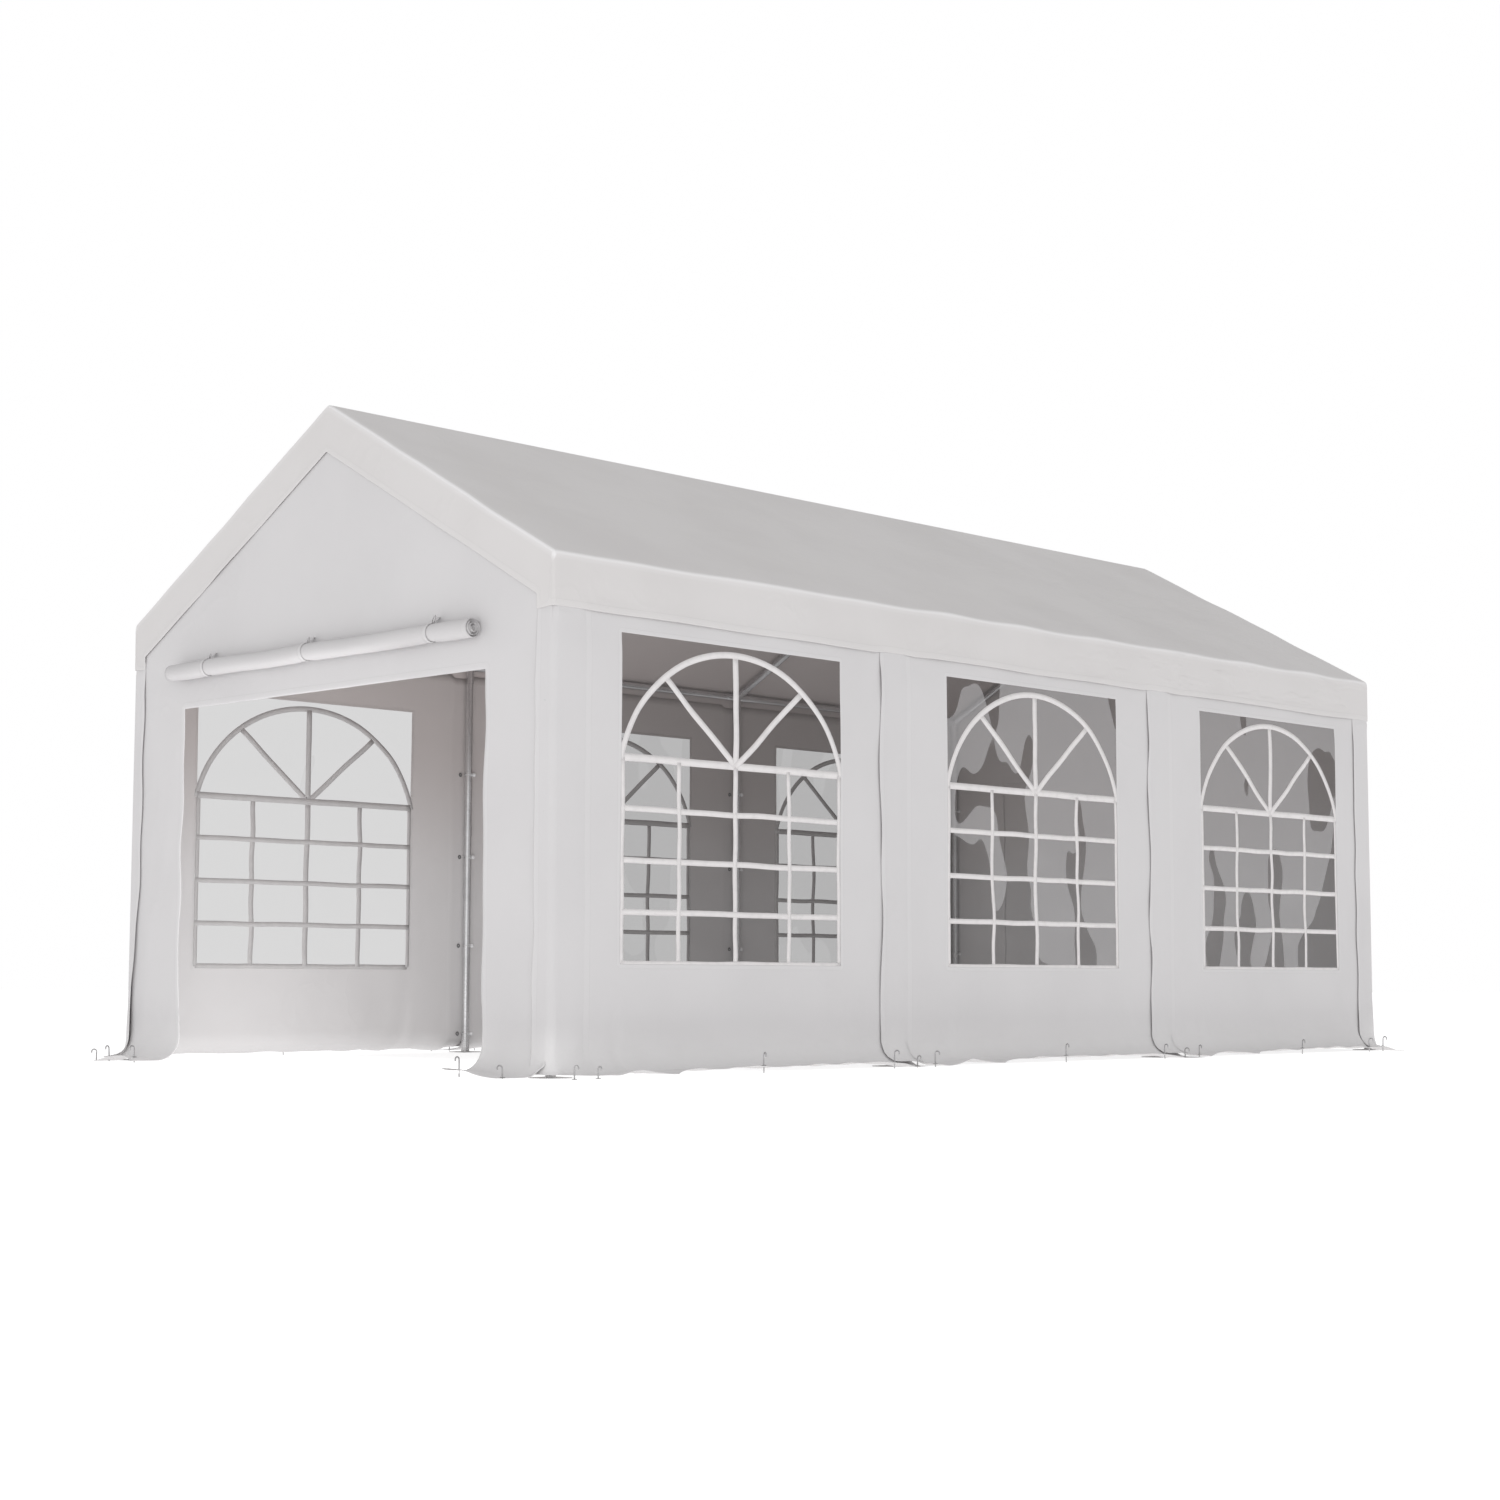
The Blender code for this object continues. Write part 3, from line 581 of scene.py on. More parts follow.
# %% Vinyl and bar materials
def make_vinyl():
    """Clear sheet: low Alpha, with patches of painted reflection that are lighter and higher in
    Alpha, and almost none on the weld, where it lies on cloth."""
    material, tree, shader = principled("rippled_vinyl")
    place = add(tree, "ShaderNodeTexCoord").outputs["Object"]
    # Painted reflection: the patches are warped noise above a level that falls along the tent and
    # rises near the foot and at the far end.
    stretched = add(tree, "ShaderNodeMapping", in_Vector=place, in_Scale=(1.0, 1.75, 0.85))
    warp = noise(tree, stretched.outputs["Vector"], 2.5, 0.3, 0.35)
    parts = add(tree, "ShaderNodeSeparateXYZ", in_Vector=place)
    near = step_between(tree, parts.outputs["Y"], -1.3, -0.7, 0.80, 0.585)
    middle = step_between(tree, parts.outputs["Y"], -0.25, 0.30, 0.0, -0.225)
    far = step_between(tree, parts.outputs["Y"], 0.9, 1.3, 0.0, -0.06)
    foot = step_between(tree, parts.outputs["Z"], 0.74, 0.54, 0.0, 0.14)
    end = step_between(tree, parts.outputs["Y"], 2.25, 2.55, 0.0, 0.17)
    along = calc(tree, "ADD", calc(tree, "ADD", near, middle), far)
    level = calc(tree, "ADD", along, calc(tree, "ADD", foot, end))
    over = calc(tree, "SUBTRACT", warp, level)
    patch = step_between(tree, over, -0.002, 0.006)
    # Painted reflection: the patches are at full strength on the right side's windows and at 0.3 on
    # the left, lighter in colour and higher in Alpha.
    inner = step_between(tree, parts.outputs["X"], -0.5, 0.5)
    painted_reflection = calc(tree, "MULTIPLY", patch, calc(tree, "MULTIPLY_ADD", inner, 0.7, 0.3))
    colour = blend_colour(tree, painted_reflection, (0.05, 0.048, 0.048, 1.0), (0.40, 0.395, 0.40, 1.0))
    tree.links.new(colour, shader.inputs["Base Color"])
    open_part = step_between(tree, attribute(tree, "hem"), -0.002, 0.001, 0.12, 1.0)
    alpha = calc(tree, "MULTIPLY_ADD", painted_reflection, 0.20, 0.33)
    tree.links.new(calc(tree, "MULTIPLY", alpha, open_part), shader.inputs["Alpha"])
    shader.inputs["Roughness"].default_value = 0.10
    shader.inputs["IOR"].default_value = 1.45
    emboss(tree, shader, noise(tree, place, 7.0, 1.5), 0.006, 0.6)
    return material


def make_print(name, colour, worn, roughness):
    """Printed bar: flat ink with slow uneven cover."""
    material, tree, shader = principled(name)
    place = add(tree, "ShaderNodeTexCoord").outputs["Object"]
    ink = noise(tree, place, 26.0, 5.0)
    cover = step_between(tree, ink, 0.4, 0.8, 0.0, 0.8)
    tree.links.new(blend_colour(tree, cover, colour, worn), shader.inputs["Base Color"])
    tree.links.new(step_between(tree, ink, 0.3, 0.7, roughness - 0.06, roughness + 0.08),
                   shader.inputs["Roughness"])
    return material


VINYL = make_vinyl()
BAR_OUTSIDE = make_print("bar_print_outside", (0.76, 0.735, 0.735, 1.0), (0.68, 0.66, 0.66, 1.0),
                         0.42)
# Painted shade: the inner face of the print is a grey, darker copy of the white print.
BAR_INSIDE_SHADED = make_print("bar_print_inside", (0.45, 0.438, 0.438, 1.0), (0.50, 0.488, 0.488, 1.0),
                        0.5)
print("window finishes:", VINYL.name, BAR_OUTSIDE.name, BAR_INSIDE_SHADED.name)

# %% [markdown]
# ## Galvanised steel
#
# Hot-dip zinc freezes into flat crystals, the spangle, each with its own shine. A Voronoi texture
# gives each crystal one value, which shifts colour and roughness, and thin noise dulls the metal
# towards the ground. The tubes keep the frame's own solids and only get this finish.

# %% Steel, zinc wire and fittings
def make_steel(name, base, dull, spangle, roughness):
    """Galvanised metal: Voronoi cells shift colour and roughness, noise adds dull stains."""
    material, tree, shader = principled(name)
    place = add(tree, "ShaderNodeTexCoord").outputs["Object"]
    cells = add(tree, "ShaderNodeTexVoronoi", in_Vector=place, in_Scale=spangle)
    value = add(tree, "ShaderNodeSeparateColor", in_Color=cells.outputs["Color"]).outputs["Red"]
    stain = noise(tree, place, 6.0, 6.0)
    colour = blend_colour(tree, calc(tree, "MULTIPLY", value, 0.5), base, dull)
    stained = blend_colour(tree, step_between(tree, stain, 0.52, 0.72, 0.0, 0.6), colour, dull)
    dust = use_group(tree, DUST, Vector=place, Height=0.15).outputs["Mask"]
    tree.links.new(blend_colour(tree, calc(tree, "MULTIPLY", dust, 0.4), stained,
                                (0.30, 0.27, 0.24, 1.0)),
                   shader.inputs["Base Color"])
    shader.inputs["Metallic"].default_value = 1.0
    spread = calc(tree, "MULTIPLY_ADD", value, 0.10, roughness)
    tree.links.new(calc(tree, "MULTIPLY_ADD", dust, 0.3, spread), shader.inputs["Roughness"])
    emboss(tree, shader, stain, 0.0006, 0.5)
    return material


def make_moulded(name, colour, other, roughness):
    """Moulded plastic or rubber: slow colour drift and a fine grain in its gloss."""
    material, tree, shader = principled(name)
    place = add(tree, "ShaderNodeTexCoord").outputs["Object"]
    grain = noise(tree, place, 60.0, 3.0)
    tree.links.new(blend_colour(tree, grain, colour, other), shader.inputs["Base Color"])
    tree.links.new(step_between(tree, grain, 0.3, 0.7, roughness - 0.05, roughness + 0.08),
                   shader.inputs["Roughness"])
    return material


STEEL = make_steel("spangled_steel", (0.78, 0.78, 0.79, 1.0), (0.60, 0.60, 0.61, 1.0), 160.0, 0.15)
WIRE = make_steel("zinc_wire", (0.60, 0.60, 0.61, 1.0), (0.40, 0.40, 0.41, 1.0), 90.0, 0.30)
BALL = make_moulded("white_ball", (0.74, 0.74, 0.75, 1.0), (0.66, 0.66, 0.67, 1.0), 0.32)
ELASTIC = make_moulded("white_elastic", (0.62, 0.62, 0.62, 1.0), (0.48, 0.48, 0.48, 1.0), 0.75)
DARK_EYE = make_moulded("dark_eyelet", (0.11, 0.11, 0.115, 1.0), (0.17, 0.17, 0.17, 1.0), 0.4)

for name, node in NODES.items():
    if name.endswith("_rail") or "_leg_" in name or "_rafter_" in name:
        if not node.material_slots:
            node.data.materials.append(STEEL)
        for place_of in node.material_slots:
            place_of.material = STEEL
print("steel nodes dressed:",
      sum("_leg_" in n or "_rafter_" in n or n.endswith("_rail") for n in NODES))

# %% [markdown]
# ## A walk round the tent
#
# All walls stand on one outline, and each side begins with a corner that cloth is wrapped round.
# So a wall is described by w, the distance from its side's first corner, which is negative where
# the sheet lies on the side before. One function turns w into a place on the rounded outline and
# the direction outwards, and serves all four sides.

# %% Outline of the walls
CORNER_ROUND = 0.026
SIDES = {
    "right": ((HALF_WIDTH, -HALF_LENGTH), (0.0, 1.0), 2 * HALF_LENGTH),
    "back": ((HALF_WIDTH, HALF_LENGTH), (-1.0, 0.0), 2 * HALF_WIDTH),
    "left": ((-HALF_WIDTH, HALF_LENGTH), (0.0, -1.0), 2 * HALF_LENGTH),
    "front": ((-HALF_WIDTH, -HALF_LENGTH), (1.0, 0.0), 2 * HALF_WIDTH),
}
SEEDS = {"right": 11, "back": 23, "left": 37, "front": 53}


def on_side(side, w, out, z):
    """Points at distance w round a side's first corner, pushed outwards by out, at height z. The
    corner is a quarter circle, and the outward direction turns with it."""
    (corner_x, corner_y), (ux, uy) = SIDES[side][:2]
    nx, ny = uy, -ux
    r = CORNER_ROUND
    turn = np.clip((w + r) / (2 * r), 0.0, 1.0) * (math.pi / 2)
    out_u, out_n = -np.cos(turn), np.sin(turn)
    u = r * (1.0 + out_u) + np.maximum(w - r, 0.0) + out_u * out
    n = -r * (1.0 - out_n) + np.minimum(w + r, 0.0) + out_n * out
    return np.stack(np.broadcast_arrays(corner_x + ux * u + nx * n, corner_y + uy * u + ny * n, z),
                    -1)


def wall_swell(side, w, z):
    """How far a wall stands out at (w, z): broad swells and upright folds, none under the
    valance or where the next side's corner flap covers the sheet."""
    length, seed = SIDES[side][2], SEEDS[side]
    broad = lift(waves(w, z, seed, 1.5, 0.5))
    folds = lift(waves(w, z, seed + 1, 0.42, 0.13, lean=0.0, spread=0.45))
    patch = lift(2.0 * waves(w, z, seed + 2, 1.8, 0.7))
    top = smoothstep(1.795, 1.66, z)
    end = smoothstep(length - 0.12, length - 0.36, w)
    return (0.0052 * broad + 0.0026 * folds * patch) * top * end


# %% [markdown]
# ## The skirt on the ground
#
# The lowest 46 cm of a wall's cloth ends outside on the ground, so that earth or pegs can hold
# it. It hangs straight, turns through a quarter of an ellipse, and lies flat. The function walks
# down that profile by the length of cloth used, so the cloth isn't stretched, and moves points
# along the profile's own normal, so folds rise from the ground instead of sinking in.

# %% Skirt profile
BEND_HIGH = 0.115
BEND_OUT = 0.10
REST_Z = 0.0032
FLAT_OUT = 0.11
TIP_AT = 0.46
bend_turn = np.linspace(0.0, math.pi / 2, 200)
bend_out = BEND_OUT * (1.0 - np.cos(bend_turn))
bend_z = BEND_HIGH - (BEND_HIGH - REST_Z) * np.sin(bend_turn)
bend_run = np.concatenate([[0.0], np.cumsum(np.hypot(np.diff(bend_out), np.diff(bend_z)))])
STRAIGHT_RUN = SKIRT_TOP_Z - BEND_HIGH
SKIRT_RUN = STRAIGHT_RUN + bend_run[-1] + FLAT_OUT
print(f"cloth below {SKIRT_TOP_Z} m: {SKIRT_RUN:.3f} m")


def skirt_at(run):
    """Outward distance, height and normal at a length of cloth below the skirt's top."""
    on_bend = np.clip(run - STRAIGHT_RUN, 0.0, bend_run[-1])
    turn = np.interp(on_bend, bend_run, bend_turn)
    out = BEND_OUT * (1.0 - np.cos(turn)) + np.maximum(run - STRAIGHT_RUN - bend_run[-1], 0.0)
    z = np.where(run < STRAIGHT_RUN, SKIRT_TOP_Z - run, BEND_HIGH - (BEND_HIGH - REST_Z)
                 * np.sin(turn))
    slant_out, slant_z = (BEND_HIGH - REST_Z) * np.cos(turn), BEND_OUT * np.sin(turn)
    size = np.hypot(slant_out, slant_z)
    return out, z, slant_out / size, slant_z / size


def skirt_folds(side, w, run):
    """Folds of the skirt: waves along the wall that grow towards the hem. The hem stays a little
    off the ground, but for a pointed tip in each bay and the places beside the legs. Returns the
    rise and the extra reach."""
    length, seed = SIDES[side][2], SEEDS[side]
    grow = smoothstep(0.05, SKIRT_RUN, run)
    bay = np.mod(w, BAY) if length > 2 * BAY else w
    past = bay - TIP_AT
    behind = 0.5 * np.exp(-((past / 0.022) ** 2)) + 0.5 * np.exp(-((past / 0.11) ** 2))
    tip = np.where(past < 0, np.exp(-((past / 0.10) ** 2)), behind)
    bay_length = BAY if length > 2 * BAY else length
    leg_away = np.minimum(np.abs(bay), np.abs(bay_length - bay))
    clear = smoothstep(0.07, 0.30, leg_away)
    rise = 0.007 * lift(1.3 * waves(w, 0.5 * run, seed + 5, 0.55, 0.16, spread=0.5))
    rise = rise * grow * (0.3 + 0.7 * clear)
    rise = rise + 0.021 * (1.0 - tip) * clear * smoothstep(0.2, SKIRT_RUN, run)
    reach = (0.030 * tip + 0.014 * waves(w, 0.0, seed + 6, 0.9, 0.3, spread=0.2)) * grow
    return rise, reach


# %% [markdown]
# ## One recipe for every wall
#
# A wall sheet has a flap that covers a pole, a seam, and a panel that lies one layer deeper and
# runs on under the next flap. Rows go down from the top by height, and then down the skirt by
# length. Holes are cells that are left out, so window edges are rows and columns of the grid.
# Solidify gives the sheet its thickness at the end.

# %% Wall sheets
JOG = 0.02
UPPER_Z = 1.79
SHEET_POINTS = []
SKIRT_ROWS = 22


def finish_sheet(piece, thickness=CLOTH):
    """Give a sheet its thickness, inwards from the face that was drawn. The inner side takes the
    piece's second material, if it has one."""
    solid = piece.modifiers.new("thickness", "SOLIDIFY")
    solid.thickness = thickness
    solid.offset = -1.0
    solid.use_even_offset = True
    solid.material_offset = len(piece.data.materials) - 1
    return piece


def uv_area(uv, faces):
    """Area of the faces on the flat cut."""
    a, b, c, d = (uv.reshape(-1, 2)[faces[:, k]] for k in range(4))
    p, q = c - a, d - b
    return float(np.abs(p[:, 0] * q[:, 1] - p[:, 1] * q[:, 0]).sum() / 2)


def edge_distance(*distances):
    """The smallest of several distances, kept under 6 cm."""
    return np.minimum.reduce([np.minimum(np.abs(d),
                                         0.06) * np.ones_like(distances[0]) for d in distances])


def nowhere(at, z):
    """No shift at any (at, z)."""
    return 0.0 * at + 0.0 * z


def wall_sheet(name, side, w, upper, levels, top, offset, reach, slide, extra, hem_of, hole=None,
               flare=None, node=None):
    """A wall on a grid. w: columns. upper: shares of the rows between UPPER_Z and the top.
    levels: heights below that. top, offset and reach: functions of w for the sheet's top, its
    layer and the part of the skirt it has. slide: sideways shift of (w, z). extra: push outwards
    at (w, z). hem_of: distance to the nearest edge at (w, z, run). hole: test on the cells. flare:
    share of the skirt's outward reach, a function of w. node: the solid that the sheet replaces."""
    shares = np.linspace(0.0, 1.0, SKIRT_ROWS)[1:] ** 0.9
    columns = w[None, :]
    top_z = top(columns)
    z_upper = UPPER_Z + upper[:, None] * (top_z - UPPER_Z)
    z_levels = levels[:, None] * np.ones_like(columns)
    run = shares[:, None] * reach(columns) * SKIRT_RUN
    out_run, z_run, normal_out, normal_z = skirt_at(run)
    rise, stretch = skirt_folds(side, columns + 0.0 * run, run)
    still = np.zeros((len(upper) + len(levels), len(w)))
    z = np.concatenate([z_upper, z_levels, z_run])
    spread = 1.0 if flare is None else flare(columns)
    out = np.concatenate([still, out_run * (1.0 + stretch / 0.21) * spread])
    run_all = np.concatenate([still, run])
    n_out = np.concatenate([still + 1.0, normal_out])
    n_z = np.concatenate([still, normal_z])
    push = offset(columns, z) + extra(columns, z)
    push = push + wall_swell(side, columns, np.minimum(z, 1.9)) + np.concatenate([still, rise])
    moved_w = columns + slide(columns, z)
    points = on_side(side, moved_w, out + push * n_out, z + np.maximum(push + LAYER, 0.0) * n_z)
    down = np.concatenate([RIDGE_Z - z_upper, RIDGE_Z - z_levels, RIDGE_Z - SKIRT_TOP_Z + run])
    uv = np.stack([columns + 0.0 * down, -down], -1)
    hem = hem_of(columns, z, run_all)
    middle_w = (w[1:] + w[:-1])[None, :] / 2
    middle_z = (z[1:] + z[:-1])[:, :-1] / 2
    keep = np.ones((len(z) - 1, len(w) - 1), bool) if hole is None else ~hole(middle_w, middle_z)
    faces = grid_faces(len(z), len(w), keep)
    SHEET_POINTS.append(points.reshape(-1, 3))
    piece = make_piece(f"{name}_cloth", points, [faces], [WALL_CLOTH, INNER_CLOTH_PAINTED_SHADE], uv, hem)
    finish_sheet(piece)
    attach(piece, "root")
    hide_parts(node or name)
    width = float(w[-1] - w[0])
    drop = float(down.max() - down.min())
    area = min(uv_area(uv, faces), width * drop)
    cut = f"{width:.2f} x {drop:.2f} m, {area:.2f} square metres"
    print(f"{piece.name}: {len(faces)} faces, cut {cut}")
    return piece


# %% [markdown]
# ## Side walls
#
# Six walls of one bay each. The flap's free edge hangs a few millimetres off the panel below, so
# a dark line shows along it, and its lower corner is cut round. At the corner of the tent the
# flap wraps the pole and ends above the foot plate, where the cloth gathers into a few creases.

# %% Side wall shape
FLAP_REACH = 0.72
FLAP_EDGE_REACH = 0.44
FLAP_ROUND = 0.09
CORNER_FLARE = 0.35
TUCK = 0.0017
TUCK_LOW_Z, TUCK_HIGH_Z = 1.798, 1.812
# Seen from inside, the left panels end behind the poles, so their flaps go up to the eave rail.
FLAP_TOP_Z = {"right": CORNER_TOP_Z, "left": 1.955}
PANEL_UNDER_FLAP = {"right": 0.05, "left": -0.02}
UPPER_ROWS = np.array([1.0, 0.75, 0.5, 0.28, 0.12])


def rounded_reach(from_edge):
    """Share of the skirt that a flap has at a distance from its free edge: a quarter circle."""
    part = 1.0 - np.clip(from_edge / FLAP_ROUND, 0.0, 1.0)
    return FLAP_REACH - (1.0 - np.sqrt(1.0 - part * part)) * (FLAP_REACH - FLAP_EDGE_REACH)


def side_levels():
    """Heights of the rows of a side wall, with every edge of the window and its weld among them."""
    stops = [UPPER_Z, WINDOW_HIGH_Z + 0.02, WINDOW_HIGH_Z + 0.004, WINDOW_HIGH_Z]
    low = [WINDOW_LOW_Z, WINDOW_LOW_Z - 0.004, WINDOW_LOW_Z - 0.02, SKIRT_TOP_Z]
    return np.concatenate([spaced(stops, 0.02)[:-1], spaced([WINDOW_HIGH_Z, WINDOW_LOW_Z],
                                                            0.026)[:-1], spaced(low, 0.02)])


def make_side_wall(side, bay, name):
    """The wall of one bay of the right or left side, as wall_sheet makes it."""
    corner = bay == 0
    first = -CORNER_GABLE if corner else bay * BAY - FLAP_BEFORE
    seam = CORNER_SIDE if corner else bay * BAY + FLAP_AFTER
    middle = (bay + 0.5) * BAY
    last = 2 * HALF_LENGTH - 0.04 if bay == 2 else (bay + 1) * BAY + PANEL_UNDER_FLAP[side]
    window = (middle - WINDOW_HALF, middle + WINDOW_HALF)
    if corner:
        start = list(np.concatenate([[-CORNER_GABLE, -0.094, -0.072, -0.05],
                                     np.linspace(-CORNER_ROUND, CORNER_ROUND, 11),
                                     [0.05, 0.08, 0.11]]))
    else:
        start = [first, first + 0.004, first + 0.012, first + 0.028, first + 0.05, first + 0.08,
                 first + 0.12]
    start += [seam - JOG, seam - 0.006, seam, seam + 0.006]
    left_part = np.concatenate([np.array(start), spaced([seam + JOG, window[0] - 0.02,
                                                         window[0] - 0.004], 0.022)])
    right_part = spaced([window[1] + 0.004, window[1] + 0.02, last], 0.024)
    w = np.concatenate([left_part, spaced([window[0], window[1]], 0.026), right_part])

    def offset(at, z):
        tucked = TUCK * smoothstep(TUCK_LOW_Z, TUCK_HIGH_Z, z)
        return -LAYER * smoothstep(seam - JOG, seam, at) - tucked * smoothstep(seam, seam - JOG, at)

    def top(at):
        flap_top = FLAP_TOP_Z[side] if bay else CORNER_TOP_Z
        return flap_top + (WALL_TOP_Z - flap_top) * smoothstep(seam, seam + JOG, at)

    def reach(at):
        from_seam = corner or side == "right"
        full_from = (seam if from_seam else bay * BAY + PANEL_UNDER_FLAP[side]) - JOG
        panel = smoothstep(full_from, full_from + JOG, at)
        if corner:
            flap = 0.74 + 0.20 * smoothstep(0.01, 0.08, at)
        else:
            flap = rounded_reach(at - first)
        return flap + (1.0 - flap) * panel

    def slide(at, z):
        wander = 0.0045 * waves(z, 0.0, 70 + bay + SEEDS[side], 1.1, 0.35, spread=0.1)
        return wander * smoothstep(first + 0.07, first, at) * smoothstep(1.80, 1.6, z)

    def extra(at, z):
        free = smoothstep(first + 0.035, first, at) * smoothstep(UPPER_Z, 1.72, z)
        loose = 0.0030 + 0.0022 * waves(z, 0.0, 90 + bay, 0.7, 0.25, spread=0.1)
        low = 0.0035 * smoothstep(0.30, 0.12, z) * smoothstep(seam, seam - 0.06, at)
        seam_ridge = 0.0010 * np.exp(-(((at - seam) / 0.007) ** 2)) * smoothstep(UPPER_Z, 1.74, z)
        if corner:
            fan = [(0.03, 1.80, 0.06, 1.70, 0.004), (-0.04, 1.79, -0.06, 1.68, 0.003),
                   (0.08, 1.79, 0.13, 1.72, 0.002),
                   (0.06, 0.16, 0.10, 0.36, 0.006), (0.10, 0.14, 0.16, 0.33, 0.005),
                   (0.02, 0.14, 0.04, 0.40, 0.004),
                   (0.14, 0.12, 0.24, 0.26, 0.004), (-0.05, 0.14, -0.06, 0.30, 0.003)]
            pulls = creases(at, z, fan, 0.014)
        else:
            pull = [(seam - 0.05, 0.14, seam - 0.07, 0.33, 0.003),
                    (seam + 0.06, 0.12, seam + 0.03, 0.27, 0.003)]
            pulls = creases(at, z, pull, 0.013)
            kick = smoothstep(first + 0.01, first + 0.07,
                              at) * smoothstep(seam + 0.03, seam - 0.03, at)
            pulls = pulls + 0.011 * kick * smoothstep(0.09, 0.015, z)
        start = bay * BAY
        folds = [(start + 0.395, 0.03, start + 0.38, 0.28, 0.0075),
                 (start + 0.45, 0.02, start + 0.435, 0.17, 0.005),
                 (start + 0.33, 0.04, start + 0.32, 0.24, -0.004),
                 (start + 1.82, 0.05, start + 1.62, 0.31, 0.006),
                 (start + 1.02, 0.04, start + 1.10, 0.22, 0.003)]
        pulls = pulls + creases(at, z, folds, 0.027)
        return np.maximum(free * loose, 0.0) + low + seam_ridge + pulls

    def hem_of(at, z, run):
        in_window_z = np.maximum(np.maximum(WINDOW_LOW_Z - z, z - WINDOW_HIGH_Z), 0.0)
        in_window_w = np.maximum(np.maximum(window[0] - at, at - window[1]), 0.0)
        weld = np.hypot(in_window_z, in_window_w) + (HEM - 0.018)
        return edge_distance(at - first + 0.0 * z, weld, SKIRT_RUN * reach(at) - run,
                             np.where(at < seam, 1.0, at - seam) + 0.0 * z)

    def hole(at, z):
        return (at > window[0]) & (at < window[1]) & (z > WINDOW_LOW_Z) & (z < WINDOW_HIGH_Z)

    def flare(at):
        return 1.0 - corner * (1.0 - CORNER_FLARE) * smoothstep(0.13, 0.0, at)

    return wall_sheet(name, side, w, UPPER_ROWS, side_levels(), top, offset, reach, slide, extra,
                      hem_of, hole, flare)


for bay in range(3):
    make_side_wall("right", bay, f"right_wall_{bay + 1}")
    make_side_wall("left", bay, f"left_wall_{3 - bay}")

# %% [markdown]
# ## Gable walls
#
# The front and back walls are one and the same sheet: a doorway, and a top that follows the roof.
# The rows above the doorway run up to the slope, so the grid fans out under the ridge. Both
# pillars and the lintel hang free, and their edges wander. A strip of its own wraps the corner
# at the sheet's start. Its free edge hangs off the panel, more so near the ground.

# %% Gable wall shape
DOOR_W = (DOOR_LEFT + HALF_WIDTH, DOOR_RIGHT + HALF_WIDTH)
GABLE_END = 2 * HALF_WIDTH - 0.012
BAND_SLOPE = (BAND_APEX_Z - BAND_CORNER_Z) / BAND_CORNER_X


def roof_height(x):
    """Height of the roof's outer face over a point x across the tent."""
    return RIDGE_Z - np.abs(x) * SLOPE


